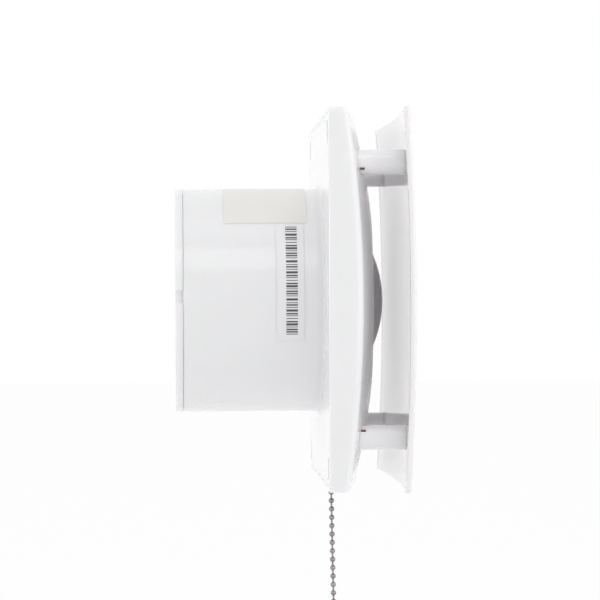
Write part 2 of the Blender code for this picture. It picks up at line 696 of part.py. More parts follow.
def front_cover(white):
    """Domed square shell with a round inlet and a collar that meets the duct."""
    inner_half = COVER_HALF - COVER_WALL
    inner_corner = COVER_CORNER - COVER_WALL
    flat_half = COVER_HALF - COVER_ROUNDING
    flat_corner = COVER_CORNER / 2
    mid = COVER_ROUNDING * (1 - math.sqrt(0.5))
    lip = INLET_RADIUS - INLET_LIP
    rim_x = cover_height(INLET_RADIUS, 0.0)
    collar_back = DUCT_FRONT + COVER_FIT
    collar_outer = lip + INLET_COLLAR_WALL

    def ring(radius, x):
        return square_loop(COVER_HALF, COVER_CORNER, x, 0.0, radius)

    def outer(share):
        return square_loop(flat_half, flat_corner, cover_height, share, INLET_RADIUS)

    def inner(share):
        return square_loop(inner_half, inner_corner,
                           lambda y, z: cover_height(y, z) - COVER_WALL, share, collar_outer)

    loops = [
        ring(lip, collar_back),
        ring(lip, rim_x - INLET_LIP),
        ring(lip + INLET_LIP * 0.3, rim_x - INLET_LIP * 0.35),
        *[outer(share) for share in (0.0, 0.3, 0.6, 0.85, 1.0)],
        square_loop(COVER_HALF - mid, COVER_CORNER * 0.8,
                    lambda y, z: cover_height(y, z) - mid),
        square_loop(COVER_HALF, COVER_CORNER, lambda y, z: cover_height(y, z) - COVER_ROUNDING),
        square_loop(COVER_HALF, COVER_CORNER, 0.0),
        square_loop(inner_half, inner_corner, 0.0),
        *[inner(share) for share in (1.0, 0.6, 0.0)],
        ring(collar_outer, collar_back),
    ]
    shell = ring_loft("front_cover", loops, white)
    join(shell, together("cover_boss_forms", [
        rod("pillar", COVER_PILLAR / 2, (COVER_BOSS_GAP_X + GAP, y, z),
            (cover_height(y, z) - COVER_WALL / 2, y, z)) for y, z in COVER_SCREWS]))
    holes = [rod("seat", COVER_SCREW_HEAD / 2 + RUNNING_GAP, (COVER_SCREW_SEAT, y, z),
                 (COVER_CROWN, y, z)) for y, z in COVER_SCREWS]
    cut(shell, together("cover_screw_seats", holes))
    holes = [rod("shank", COVER_SCREW_DIAMETER / 2 + RUNNING_GAP, (FLOOR, y, z),
                 (COVER_CROWN, y, z)) for y, z in COVER_SCREWS]
    holes += [rod("post", POST_DIAMETER / 2 + RUNNING_GAP, (FLOOR, y, z), (COVER_CROWN, y, z),
                  count=MEDIUM_ROUND) for y, z in post_places()]
    for k in range(SENSOR_HOLES):
        z = SENSOR_Z + SENSOR_HOLE_PITCH * (k - (SENSOR_HOLES - 1) / 2)
        holes.append(rod("vent", SENSOR_HOLE_DIAMETER / 2, (FLOOR, SENSOR_Y, z),
                         (COVER_CROWN, SENSOR_Y, z), count=6))
    holes.append(rod("guide", guide_radius() + RUNNING_GAP, (CHAIN_X, 0, -COVER_HALF * 1.1),
                     (CHAIN_X, 0, -COVER_HALF * 0.95), count=MEDIUM_ROUND))
    cut(shell, together("cover_holes", holes))
    return shell


def front_panel(white):
    """Domed square panel with four pads and pegs on its back."""
    half = PANEL_SIDE / 2

    def rear(share):
        return square_loop(half, PANEL_CORNER, panel_height, share)

    def front(inset, drop):
        return square_loop(half - inset, PANEL_CORNER,
                           lambda y, z: panel_height(y, z) + PANEL_THICKNESS - drop)

    def inside(share):
        return square_loop(half, PANEL_CORNER,
                           lambda y, z: panel_height(y, z) + PANEL_THICKNESS, share)

    depth = PANEL_THICKNESS
    loops = [rear(share) for share in (0.35, 0.7, 1.0)]
    loops += [front(0.0, depth * 0.5), front(depth * 0.12, depth * 0.22),
              front(depth * 0.4, depth * 0.05)]
    loops += [inside(share) for share in (0.95, 0.7, 0.35)]
    panel = dome_loft("front_panel", Vector((PANEL_CROWN, 0, 0)), loops,
                      Vector((PANEL_CROWN + PANEL_THICKNESS, 0, 0)), white)
    inside_x = PAD_X + PAD_DEPTH + PANEL_THICKNESS / 2
    join(panel, together("panel_pads", [
        rod("pad", POST_DIAMETER / 2, (PAD_X, y, z), (inside_x, y, z), count=MEDIUM_ROUND)
        for y, z in post_places()]))
    join(panel, together("panel_pegs", [
        turned("peg", [(PAD_X - PEG_LENGTH, 0.0), (PAD_X - PEG_LENGTH, PEG_DIAMETER / 2 - GAP),
                       (PAD_X - PEG_LENGTH + 2 * GAP, PEG_DIAMETER / 2),
                       (PAD_X + PAD_DEPTH, PEG_DIAMETER / 2), (PAD_X + PAD_DEPTH, 0.0)],
               count=SMALL_ROUND, y=y, z=z) for y, z in post_places()]))
    return panel


def post(number, y, z, white):
    """A hollow round post on a base stud; the panel's peg plugs into its front end."""
    back = FLOOR + GAP
    radius = POST_DIAMETER / 2
    stud = STUD_DIAMETER / 2 + RUNNING_GAP
    peg = PEG_DIAMETER / 2 + RUNNING_GAP
    stud_end = FLOOR + STUD_LENGTH + 2 * GAP
    peg_end = PAD_X - PEG_LENGTH - 2 * GAP
    column = turned(f"post_{number}", [
        (stud_end, 0.0), (stud_end, stud), (back, stud), (back, radius),
        (POST_FRONT, radius), (POST_FRONT, peg), (peg_end, peg), (peg_end, 0.0)],
        white, count=MEDIUM_ROUND, y=y, z=z)
    side = math.copysign(1, y)
    inward = -math.copysign(1, z)
    face = cover_height(y, z) + GAP
    outside = math.sqrt(radius ** 2 - POST_SLOT_RISE ** 2)
    ys = sorted((y + side * (outside - POST_SLOT_DEPTH), y + side * radius * 1.2))
    middle = z + inward * POST_SLOT_RISE
    cut(column, block(f"slot_{number}", (face, ys[0], middle - POST_SLOT_HEIGHT / 2),
                      (face + POST_SLOT_LENGTH, ys[1], middle + POST_SLOT_HEIGHT / 2)))
    return column


def inlet_guard(white):
    """Grille with rings, ribs and a middle plate that carries the cap."""
    back = GUARD_FRONT - GUARD_RIB_DEPTH
    guard = turned("inlet_guard", [
        (GUARD_BACK, GUARD_RADIUS), (GUARD_FRONT, GUARD_RADIUS),
        (GUARD_FRONT, GUARD_RADIUS - GUARD_RIM), (GUARD_BACK, GUARD_RADIUS - GUARD_RIM)], white)
    plate = CAP_DIAMETER / 2
    lip = plate - CAP_WALL - RUNNING_GAP
    join(guard, together("guard_ribs", [guard_rib(k, plate - GUARD_RIM, back)
                                        for k in range(GUARD_RIBS)]))
    room = GUARD_RADIUS - GUARD_RIM - plate
    for number, share in enumerate(GUARD_RING_SHARES):
        radius = plate + room * share - GUARD_RIB / 2
        join(guard, turned(f"guard_ring_{number}", [
            (back + GAP, radius), (GUARD_FRONT - GAP, radius),
            (GUARD_FRONT - GAP, radius + GUARD_RIB), (back + GAP, radius + GUARD_RIB)]))
    join(guard, turned("guard_plate", [
        (GUARD_FRONT - CAP_WALL, 0.0), (GUARD_FRONT - CAP_WALL, plate), (GUARD_FRONT, plate),
        (GUARD_FRONT, lip), (GUARD_FRONT + GUARD_LIP, lip),
        (GUARD_FRONT + GUARD_LIP, lip - CAP_WALL), (GUARD_FRONT - CAP_WALL / 4, lip - CAP_WALL),
        (GUARD_FRONT - CAP_WALL / 4, 0.0)]))
    return guard


def guard_rib(number, inner, back):
    rib = block("rib", (back, inner, -GUARD_RIB / 2),
                (GUARD_FRONT, GUARD_RADIUS - GUARD_RIM / 2, GUARD_RIB / 2))
    rib.data.transform(Matrix.Rotation(2 * math.pi * (number + 0.5) / GUARD_RIBS, 4, "X"))
    return rib


def guard_cap(white):
    """Domed cap over the guard's middle plate."""
    radius = CAP_DIAMETER / 2
    ball = (radius ** 2 + CAP_RISE ** 2) / (2 * CAP_RISE)
    reach = math.asin(radius / ball)
    shoulder = CAP_BASE + CAP_SKIRT
    top = shoulder + CAP_RISE
    steps = 5
    outside = [(top - ball * (1 - math.cos(reach * k / steps)), ball * math.sin(reach * k / steps))
               for k in range(1, steps + 1)]
    inside = [(x - CAP_WALL, r * (radius - CAP_WALL) / radius) for x, r in reversed(outside)]
    profile = [(top, 0.0), *outside, (CAP_BASE, radius), (CAP_BASE, radius - CAP_WALL), *inside,
               (top - CAP_WALL, 0.0)]
    return turned("guard_cap", profile, white)


def stator_core(steel):
    """Laminated ring with two poles, a round bore and two screw holes."""
    core = turned("stator_core", [
        (CORE_FRONT, CORE_RADIUS), (CORE_BACK, CORE_RADIUS), (CORE_BACK, CORE_INNER),
        (CORE_FRONT, CORE_INNER)], steel)
    reach = (CORE_RADIUS + CORE_INNER) / 2
    join(core, block("pole_form", (CORE_BACK, -POLE_WIDTH / 2, -reach),
                     (CORE_FRONT, POLE_WIDTH / 2, reach)))
    join(core, block("shoe_form", (CORE_BACK, -SHOE_WIDTH / 2, -SHOE_REACH),
                     (CORE_FRONT, SHOE_WIDTH / 2, SHOE_REACH)))
    past = CORE_LENGTH
    cut(core, rod("bore_cut", ROTOR_RADIUS + RUNNING_GAP, (CORE_BACK - past, 0, 0),
                  (CORE_FRONT + past, 0, 0), count=ROUND))
    cut(core, together("core_holes", [
        rod("hole", MOTOR_SCREW_DIAMETER / 2 + RUNNING_GAP, (CORE_BACK - past, side, 0),
            (CORE_FRONT + past, side, 0)) for side in (-MOTOR_SCREW_RADIUS, MOTOR_SCREW_RADIUS)]))
    return core


def winding(name, side, copper):
    """Coil round one pole, as a rectangular ring with rounded corners."""
    inner_y = POLE_WIDTH / 2 + GAP
    inner_x = CORE_LENGTH / 2 + GAP
    low = side * (SHOE_REACH + GAP)
    high = side * (SHOE_REACH + GAP + COIL_HEIGHT)

    def loop(extra, z):
        points = []
        for k in range(16):
            angle = 2 * math.pi * (k + 0.5) / 16
            centre_y = math.copysign(inner_y, math.cos(angle))
            centre_x = math.copysign(inner_x, math.sin(angle))
            points.append(Vector((CORE_MIDDLE + centre_x + extra * math.sin(angle),
                                  centre_y + extra * math.cos(angle), z)))
        return points

    rounding = COIL_BUILD / 6
    small = GAP / 3
    return ring_loft(name, [
        loop(small, low), loop(COIL_BUILD - rounding, low), loop(COIL_BUILD, low + side * rounding),
        loop(COIL_BUILD, high - side * rounding), loop(COIL_BUILD - rounding, high),
        loop(small, high)], copper)


def bearing_bracket(name, way, alloy):
    """Bridge over the rotor with feet on the core; way is +1 for the front one."""
    face = CORE_FRONT if way > 0 else CORE_BACK
    foot = face + way * GAP
    near = face + way * BRACKET_STAND
    far = near + way * BRACKET_PLATE
    reach = MOTOR_SCREW_RADIUS + BRACKET_END
    half = BRACKET_WIDTH / 2
    xs = sorted((near, far))
    bridge = block(name, (xs[0], -reach, -half), (xs[1], reach, half), alloy)
    feet = []
    for side in (-1, 1):
        ys = sorted((side * CORE_INNER, side * reach))
        xs = sorted((foot, near + way * BRACKET_PLATE / 2))
        feet.append(block("foot", (xs[0], ys[0], -BRACKET_FOOT / 2),
                          (xs[1], ys[1], BRACKET_FOOT / 2)))
    join(bridge, together(f"{name}_feet", feet))
    middle = (near + far) / 2
    xs = (middle - BRACKET_BOSS_LENGTH / 2, middle + BRACKET_BOSS_LENGTH / 2)
    join(bridge, rod(f"{name}_boss", BRACKET_BOSS, (xs[0], 0, 0), (xs[1], 0, 0), count=MEDIUM_ROUND))
    past = CORE_LENGTH
    cut(bridge, together(f"{name}_holes", [
        rod("bore", BEARING_DIAMETER / 2 + RUNNING_GAP, (middle - past, 0, 0),
            (middle + past, 0, 0), count=MEDIUM_ROUND),
        rod("hole", MOTOR_SCREW_DIAMETER / 2 + RUNNING_GAP, (middle - past, MOTOR_SCREW_RADIUS, 0),
            (middle + past, MOTOR_SCREW_RADIUS, 0)),
        rod("hole", MOTOR_SCREW_DIAMETER / 2 + RUNNING_GAP,
            (middle - past, -MOTOR_SCREW_RADIUS, 0), (middle + past, -MOTOR_SCREW_RADIUS, 0))]))
    return middle


def sleeve_bearing(name, middle, bronze):
    bore = SHAFT_DIAMETER / 2 + RUNNING_GAP
    half = BEARING_LENGTH / 2
    return turned(name, [
        (middle - half, BEARING_DIAMETER / 2), (middle + half, BEARING_DIAMETER / 2),
        (middle + half, bore), (middle - half, bore)], bronze, count=MEDIUM_ROUND)


def screw(name, y, z, seat, tip, shank, head, head_height, steel):
    """Pan-head screw along X with a slot; seat is under its head, tip its other end."""
    made = turned(name, [
        (tip, 0.0), (tip, shank / 2), (seat, shank / 2), (seat, head / 2),
        (seat + head_height * SCREW_RIM_SHARE, head / 2),
        (seat + head_height, head * SCREW_TOP_SHARE),
        (seat + head_height, 0.0)], steel, count=SMALL_ROUND, y=y, z=z)
    slot = head * SCREW_SLOT_SHARE
    cut(made, block(f"{name}_slot", (seat + head_height / 2, y - head, z - slot),
                    (seat + head_height * 2, y + head, z + slot)))
    return made


def motor_shaft(steel, front_bearing, clip_back):
    radius = SHAFT_DIAMETER / 2
    front = front_bearing + BEARING_LENGTH / 2 + 2 * GAP
    return turned("motor_shaft", [
        (clip_back - GAP, 0.0), (clip_back - GAP, radius * 0.8), (clip_back, radius),
        (front - GAP, radius), (front, radius * 0.8), (front, 0.0)], steel, count=SMALL_ROUND)


def rotor(alloy):
    bore = SHAFT_DIAMETER / 2 + GAP
    return turned("rotor", [
        (CORE_BACK, ROTOR_RADIUS), (CORE_FRONT, ROTOR_RADIUS), (CORE_FRONT, bore),
        (CORE_BACK, bore)], alloy)


def impeller(white):
    """Hub with twisted blades."""
    bore = SHAFT_DIAMETER / 2 + GAP
    back = HUB_FRONT - HUB_LENGTH
    hub = turned("impeller", [
        (HUB_FRONT, bore), (HUB_FRONT, HUB_RADIUS - 2 * HUB_WALL),
        (HUB_FRONT - HUB_WALL, HUB_RADIUS), (back, HUB_RADIUS), (back, HUB_RADIUS - HUB_WALL),
        (HUB_FRONT - 2 * HUB_WALL, HUB_RADIUS - HUB_WALL), (HUB_FRONT - HUB_WALL, HUB_BOSS),
        (HUB_FRONT - HUB_BOSS_LENGTH, HUB_BOSS), (HUB_FRONT - HUB_BOSS_LENGTH, bore)], white)
    join(hub, together("blade_forms", [blade(k) for k in range(BLADES)]))
    return hub


def blade(number):
    """One twisted blade, rooted half way into the hub's wall."""
    root = HUB_RADIUS - HUB_WALL / 3
    tip = DUCT_RADIUS - BLADE_TIP_GAP
    middle = HUB_FRONT - HUB_LENGTH / 2
    stations = (-0.5, -0.25, 0.0, 0.25, 0.5)
    sections = 4
    points = []
    for j in range(sections):
        share = j / (sections - 1)
        radius = root + (tip - root) * share
        chord = BLADE_ROOT_CHORD + (BLADE_TIP_CHORD - BLADE_ROOT_CHORD) * share
        angle = BLADE_ROOT_ANGLE + (BLADE_TIP_ANGLE - BLADE_ROOT_ANGLE) * share
        around = 2 * math.pi * number / BLADES - BLADE_SWEEP * share
        for way in (1, -1):
            for s in stations[::way]:
                half = BLADE_THICKNESS / 2 * (1.0 - 2.4 * s * s) * (1 - 0.3 * share)
                rise = BLADE_CAMBER * chord * (1 - 4 * s * s) + way * half
                along = chord * s
                tangent = along * math.cos(angle) - rise * math.sin(angle)
                axial = along * math.sin(angle) + rise * math.cos(angle)
                turn = around + tangent / radius
                points.append(Vector((middle + axial, radius * math.cos(turn),
                                      radius * math.sin(turn))))
    ring = 2 * len(stations)
    faces = []
    for j in range(sections - 1):
        for k in range(ring):
            n = (k + 1) % ring
            faces.append((j * ring + k, j * ring + n, (j + 1) * ring + n, (j + 1) * ring + k))
    for start in (0, (sections - 1) * ring):
        for k in range(len(stations) - 1):
            faces.append((start + k, start + k + 1, start + ring - 2 - k, start + ring - 1 - k))
    return from_faces("blade", points, faces)


def impeller_clip(steel):
    bore = SHAFT_DIAMETER / 2 + GAP
    front = HUB_FRONT - HUB_BOSS_LENGTH - GAP
    back = front - CLIP_THICKNESS
    clip = turned("impeller_clip", [
        (front, bore), (front, CLIP_DIAMETER / 2), (back + CLIP_THICKNESS / 2, CLIP_DIAMETER / 2),
        (back, CLIP_TOP / 2), (back, bore)], steel, count=MEDIUM_ROUND)
    return clip, back


def damper_ring(white):
    """Collar on the spigot's end, a sleeve inside it and the ledge that the flaps close on."""
    ledge_back = AXLE_X + FLAP_OFFSET + FLAP_THICKNESS + GAP
    ring = turned("damper_ring", [
        (COLLAR_BACK, SLEEVE_INNER), (COLLAR_BACK, SPIGOT_RADIUS), (COLLAR_FRONT, SPIGOT_RADIUS),
        (COLLAR_FRONT, SLEEVE_RADIUS), (COLLAR_FRONT + SLEEVE_LENGTH, SLEEVE_RADIUS),
        (COLLAR_FRONT + SLEEVE_LENGTH, SLEEVE_INNER),
        (ledge_back + LEDGE_THICKNESS, SLEEVE_INNER),
        (ledge_back + LEDGE_THICKNESS, SLEEVE_INNER - LEDGE_WIDTH),
        (ledge_back, SLEEVE_INNER - LEDGE_WIDTH), (ledge_back, SLEEVE_INNER)], white, count=40)
    notches = []
    for side in (-1, 1):
        ys = sorted((side * (SPIGOT_RADIUS - NOTCH_DEPTH), side * SPIGOT_RADIUS * 1.1))
        notches.append(block("notch", (COLLAR_BACK - GAP, ys[0], NOTCH_RISE - NOTCH_HEIGHT / 2),
                             (COLLAR_FRONT + GAP, ys[1], NOTCH_RISE + NOTCH_HEIGHT / 2)))
    cut(ring, together("notch_cuts", notches))
    reach = SLEEVE_RADIUS
    cut(ring, rod("axle_hole", AXLE_DIAMETER / 2 + RUNNING_GAP, (AXLE_X, -reach, 0),
                  (AXLE_X, reach, 0)))
    return ring


def damper_axle(steel):
    reach = SLEEVE_RADIUS - GAP
    return rod("damper_axle", AXLE_DIAMETER / 2, (AXLE_X, -reach, 0), (AXLE_X, reach, 0), steel)


def damper_flap(name, way, knuckles, white):
    """Half-round flap with two knuckles on the axle; way is +1 for the upper one."""
    radius = SLEEVE_INNER - FLAP_FIT
    start = KNUCKLE_DIAMETER / 2 + 2 * GAP
    angle = math.asin(start / radius)
    steps = 22
    outline = []
    for k in range(steps + 1):
        turn = angle + (math.pi - 2 * angle) * k / steps
        outline.append((radius * math.cos(turn), way * radius * math.sin(turn)))
    back = AXLE_X + FLAP_OFFSET
    count = len(outline)
    points = [Vector((x, y, z)) for x in (back, back + FLAP_THICKNESS) for y, z in outline]
    faces = [tuple(range(count)), tuple(range(count, 2 * count))]
    faces += [(k, (k + 1) % count, count + (k + 1) % count, count + k) for k in range(count)]
    flap = from_faces(name, points, faces, white)
    tabs = []
    barrels = []
    for y in knuckles:
        barrels.append(rod("barrel", KNUCKLE_DIAMETER / 2, (AXLE_X, y, 0),
                           (AXLE_X, y + KNUCKLE_LENGTH, 0)))
        zs = sorted((0.0, way * (start + GAP)))
        inset = GAP / 3
        tabs.append(block("tab", (back + inset, y + inset, zs[0]),
                          (back + FLAP_THICKNESS - inset, y + KNUCKLE_LENGTH - inset, zs[1])))
    join(flap, together(f"{name}_tabs", tabs))
    join(flap, together(f"{name}_barrels", barrels))
    cut(flap, rod(f"{name}_bore", AXLE_DIAMETER / 2 + RUNNING_GAP, (AXLE_X, -radius, 0),
                  (AXLE_X, radius, 0)))
    set_origin(flap, (AXLE_X, 0, 0))
    return flap


def damper_spring(name, way, steel):
    """Torsion spring round the axle, whose leg lies on the outer face of its flap."""
    path = []
    for k in range(SPRING_TURNS * COIL_STEPS, -1, -1):
        angle = 2 * math.pi * k / COIL_STEPS
        y = -way * (SPRING_INNER + SPRING_WIRE / 2 + SPRING_PITCH * k / COIL_STEPS)
        path.append(Vector((AXLE_X - SPRING_COIL_RADIUS * math.cos(angle), y,
                            -way * SPRING_COIL_RADIUS * math.sin(angle))))
    last = path[-1]
    touch = AXLE_X + FLAP_OFFSET - GAP - SPRING_WIRE / 2
    legs = 5
    for k in range(1, legs + 1):
        share = k / legs
        path.append(Vector((last.x + (touch - last.x) * share, last.y, way * SPRING_LEG * share)))
    least_gap(name, path, SPRING_WIRE, COIL_STEPS // 2)
    spring = wire(name, path, SPRING_WIRE, steel, resolution=1)
    spring.data.transform(Matrix.Translation((-AXLE_X, 0, 0)))
    spring.location = (AXLE_X, 0, 0)
    return spring


def terminal_block(grey):
    """Three-way block with screw wells in front and wire holes from side to side."""
    back = FLOOR + GAP
    front = back + BLOCK_HEIGHT
    body = block("terminal_block", (back, BLOCK_Y, BLOCK_Z),
                 (front, BLOCK_Y + BLOCK_WIDTH, BLOCK_Z + BLOCK_LENGTH), grey)
    wells = []
    bores = []
    for y, z in terminal_places():
        wells.append(rod("well", TERMINAL_WELL / 2, (front - TERMINAL_WELL_DEPTH, y, z),
                         (front + GAP, y, z)))
        level = back + WIRE_LEVEL
        bores.append(rod("bore", WIRE_HOLE / 2, (level, BLOCK_Y - GAP, z),
                         (level, BLOCK_Y + BLOCK_WIDTH + GAP, z), count=8))
    cut(body, together("terminal_wells", wells))
    cut(body, together("terminal_bores", bores))
    return body


def terminal_places():
    middle = BLOCK_Z + BLOCK_LENGTH / 2
    return [(BLOCK_Y + BLOCK_WIDTH / 2, middle + TERMINAL_PITCH * (k - (TERMINALS - 1) / 2))
            for k in range(TERMINALS)]


def terminal_screw(number, y, z, brass):
    seat = FLOOR + GAP + BLOCK_HEIGHT - TERMINAL_WELL_DEPTH + GAP
    radius = TERMINAL_WELL / 2 - RUNNING_GAP
    top = seat + TERMINAL_WELL_DEPTH / 2
    made = turned(f"terminal_screw_{number}", [
        (seat, 0.0), (seat, radius), (top - GAP, radius), (top, radius - GAP), (top, 0.0)],
        brass, count=SMALL_ROUND, y=y, z=z)
    cut(made, block(f"terminal_slot_{number}", (top - GAP * 3, y - radius * 2, z - GAP),
                    (top + GAP, y + radius * 2, z + GAP)))
    return made


def cable_clamp(grey):
    """Strap over the mains cable, on two bosses."""
    back = FLOOR + CLAMP_BOSS_HEIGHT + GAP
    reach = CLAMP_SPAN / 2 + CLAMP_WIDTH / 2
    strap = block("cable_clamp", (back, CLAMP_Y - reach, CLAMP_Z - CLAMP_WIDTH / 2),
                  (back + CLAMP_THICKNESS, CLAMP_Y + reach, CLAMP_Z + CLAMP_WIDTH / 2), grey,
                  bevel=CLAMP_THICKNESS / 6)
    ridge = rod("clamp_ridge", CLAMP_RIDGE / 2,
                (back, CLAMP_Y - CLAMP_WIDTH / 2, CLAMP_Z),
                (back, CLAMP_Y + CLAMP_WIDTH / 2, CLAMP_Z))
    join(strap, ridge)
    cut(strap, together("clamp_holes", [
        rod("hole", SMALL_SCREW_DIAMETER / 2 + RUNNING_GAP, (FLOOR, y, CLAMP_Z),
            (COVER_CROWN, y, CLAMP_Z)) for y in clamp_screw_ys()]))
    return strap


def control_board(green):
    board = block("control_board", (BOARD_BACK, BOARD_Y, BOARD_Z),
                  (BOARD_FRONT, BOARD_Y + BOARD_WIDTH, BOARD_Z + BOARD_LENGTH), green)
    cut(board, rod("board_relief", BOARD_RELIEF, (0, 0, 0), (COVER_CROWN, 0, 0), count=ROUND))
    cut(board, together("board_holes", [
        rod("hole", SMALL_SCREW_DIAMETER / 2 + RUNNING_GAP, (0, y, z), (COVER_CROWN, y, z))
        for y, z in BOARD_SCREWS]))
    return board


def on_board(name, place, size, finish):
    """A component standing on the board, given by its middle and its size."""
    y, z = place
    height, width, length = size
    return block(name, (PARTS_ON_BOARD, y - width / 2, z - length / 2),
                 (PARTS_ON_BOARD + height, y + width / 2, z + length / 2), finish,
                 bevel=COMPONENT_EDGE)


def trimmer_knob(number, z, cream):
    back = PARTS_ON_BOARD + TRIMMER_SIZE[0] + GAP
    radius = KNOB_DIAMETER / 2
    knob = turned(f"trimmer_knob_{number}", [
        (back, 0.0), (back, radius), (back + KNOB_HEIGHT - GAP, radius),
        (back + KNOB_HEIGHT, radius - GAP), (back + KNOB_HEIGHT, 0.0)],
        cream, count=SMALL_ROUND, y=TRIMMER_Y, z=z)
    cut(knob, block(f"knob_slot_{number}",
                    (back + KNOB_HEIGHT / 2, TRIMMER_Y - radius * 2, z - KNOB_SLOT / 2),
                    (back + KNOB_HEIGHT * 2, TRIMMER_Y + radius * 2, z + KNOB_SLOT / 2)))
    set_origin(knob, (back, TRIMMER_Y, z))
    return knob


def guide_radius():
    """Outer radius of the chain guide's tube."""
    return CHAIN_DIAMETER / 2 + GUIDE_FIT + GUIDE_WALL


def switch_body(grey):
    """Open-fronted switch box with a hole in its bottom for the slider's stem."""
    box = block("switch_body", (SWITCH_BASE_X, -SWITCH_WIDTH / 2, -SWITCH_BOTTOM),
                (SWITCH_BASE_X + SWITCH_DEPTH, SWITCH_WIDTH / 2, -SWITCH_TOP), grey)
    cut(box, block("switch_hollow",
                   (SWITCH_BASE_X + SWITCH_BACK, -SWITCH_WIDTH / 2 + SWITCH_WALL,
                    -SWITCH_BOTTOM + SWITCH_WALL),
                   (SWITCH_BASE_X + 2 * SWITCH_DEPTH, SWITCH_WIDTH / 2 - SWITCH_WALL,
                    -SWITCH_TOP - SWITCH_WALL)))
    cut(box, rod("stem_hole", SLIDER_STEM / 2 + RUNNING_GAP, (CHAIN_X, 0, -SWITCH_BOTTOM * 1.1),
                 (CHAIN_X, 0, -SWITCH_BOTTOM + 2 * SWITCH_WALL)))
    return box


def switch_lid(grey):
    back = SWITCH_BASE_X + SWITCH_DEPTH + GAP
    return block("switch_lid", (back, -SWITCH_WIDTH / 2, -SWITCH_BOTTOM),
                 (back + LID_THICKNESS, SWITCH_WIDTH / 2, -SWITCH_TOP), grey,
                 bevel=LID_THICKNESS / 5)


def switch_slider(cream):
    """Slider head with the stem that the chain pulls."""
    low_x = CHAIN_X - SLIDER_STEM / 2
    high_x = SWITCH_BASE_X + SWITCH_DEPTH - GAP
    head = block("switch_slider", (low_x, -SLIDER_WIDTH / 2, SLIDER_TOP - SLIDER_HEIGHT),
                 (high_x, SLIDER_WIDTH / 2, SLIDER_TOP), cream)
    join(head, rod("stem_form", SLIDER_STEM / 2 - GAP / 3, (CHAIN_X, 0, STEM_END),
                   (CHAIN_X, 0, SLIDER_TOP - SLIDER_HEIGHT / 2)))
    set_origin(head, (CHAIN_X, 0, SLIDER_TOP))
    return head


def return_spring(steel):
    """Compression spring under the slider's head."""
    low = -SWITCH_BOTTOM + SWITCH_WALL + GAP + RETURN_WIRE / 2
    high = SLIDER_TOP - SLIDER_HEIGHT - GAP - RETURN_WIRE / 2
    total = RETURN_TURNS * COIL_STEPS
    path = []
    for k in range(total + 1):
        angle = 2 * math.pi * k / COIL_STEPS
        path.append(Vector((RETURN_X + RETURN_RADIUS * math.cos(angle),
                            RETURN_Y + RETURN_RADIUS * math.sin(angle),
                            low + (high - low) * k / total)))
    least_gap("switch_spring", path, RETURN_WIRE, COIL_STEPS // 2)
    return wire("switch_spring", path, RETURN_WIRE, steel, resolution=1)


def chain_guide(white):
    """Flanged eyelet in the cover's bottom wall."""
    bore = CHAIN_DIAMETER / 2 + GUIDE_FIT
    outer = guide_radius()
    flange = outer + GUIDE_FLANGE
    low = -COVER_HALF - GAP - GUIDE_FLANGE_THICKNESS
    seat = low + GUIDE_FLANGE_THICKNESS
    top = -COVER_HALF + COVER_WALL + GUIDE_INSIDE
    eyelet = turned("chain_guide", [
        (low, bore), (low, flange), (seat, flange), (seat, outer), (top, outer), (top, bore)],
        white, count=MEDIUM_ROUND)
    eyelet.data.transform(Matrix.Translation((CHAIN_X, 0, 0)) @ Matrix.Rotation(-math.pi / 2, 4, "Y"))
    return eyelet


def chain_path():
    """The chain hangs straight down from the slider's stem and leans a little forward."""
    stretches = 7
    route = []
    for k in range(stretches + 1):
        share = k / stretches
        route.append((CHAIN_X + CHAIN_LEAN * share ** 1.3, 0.0, CHAIN_TOP - CHAIN_LENGTH * share))
    return through(route, CHAIN_POINTS // stretches)


def pull_chain(steel, slider_origin):
    chain = wire("pull_chain", chain_path(), CHAIN_DIAMETER, steel)
    chain.data.transform(Matrix.Translation(-Vector(slider_origin)))
    chain.location = slider_origin
    return chain


def chain_pull(white, slider_origin):
    """Turned bell on the chain's end."""
    end = chain_path()[-1]
    radius = PULL_DIAMETER / 2
    top = end.z - GAP
    profile = [(0.0, 0.0), (0.0, radius * 0.42), (-0.25, radius * 0.5), (-0.5, radius * 0.72),
               (-0.75, radius * 0.95), (-0.9, radius), (-1.0, radius * 0.86), (-1.0, 0.0)]
    bell = turned("chain_pull", [(x * PULL_LENGTH, r) for x, r in profile], white, count=MEDIUM_ROUND)
    place = Matrix.Translation((end.x, end.y, top)) @ Matrix.Rotation(-math.pi / 2, 4, "Y")
    bell.data.transform(place)
    set_origin(bell, slider_origin)
    return bell


def leads(brown, blue):
    """Two held leads: mains block to switch, and switch to board."""
    level = FLOOR + GAP + WIRE_LEVEL
    side = SWITCH_WIDTH / 2 + GAP
    height = SWITCH_BASE_X + SWITCH_DEPTH / 2
    mid_z = -(SWITCH_BOTTOM + SWITCH_TOP) / 2
    first = [
        (level, BLOCK_Y - GAP, terminal_places()[0][1]),
        (level, BLOCK_Y - LEAD_TAIL, terminal_places()[0][1]),
        (height, POST_Y - SUPPLY_INSETS[0], mid_z + SUPPLY_RISES[0]),
        (height, POST_Y - SUPPLY_INSETS[1], mid_z + SUPPLY_RISES[1]),
        (height, side + LEAD_TAIL, mid_z),
        (height, side, mid_z),
    ]
    wire("lead_supply", through(first, 5), LEAD_DIAMETER, brown, resolution=1)
    board_edge = BOARD_Y + BOARD_WIDTH + GAP
    board_level = BOARD_BACK + BOARD_THICKNESS / 2
    board_z = BOARD_Z + BOARD_LENGTH * 0.2
    second = [
        (height, -side, mid_z),
        (height, -side - LEAD_TAIL, mid_z),
        (height, -(POST_Y - SWITCHED_INSET), mid_z + SWITCHED_RISE),
        (board_level, board_edge + LEAD_TAIL, board_z),
        (board_level, board_edge, board_z),
    ]
    wire("lead_switched", through(second, 5), LEAD_DIAMETER, blue, resolution=1)


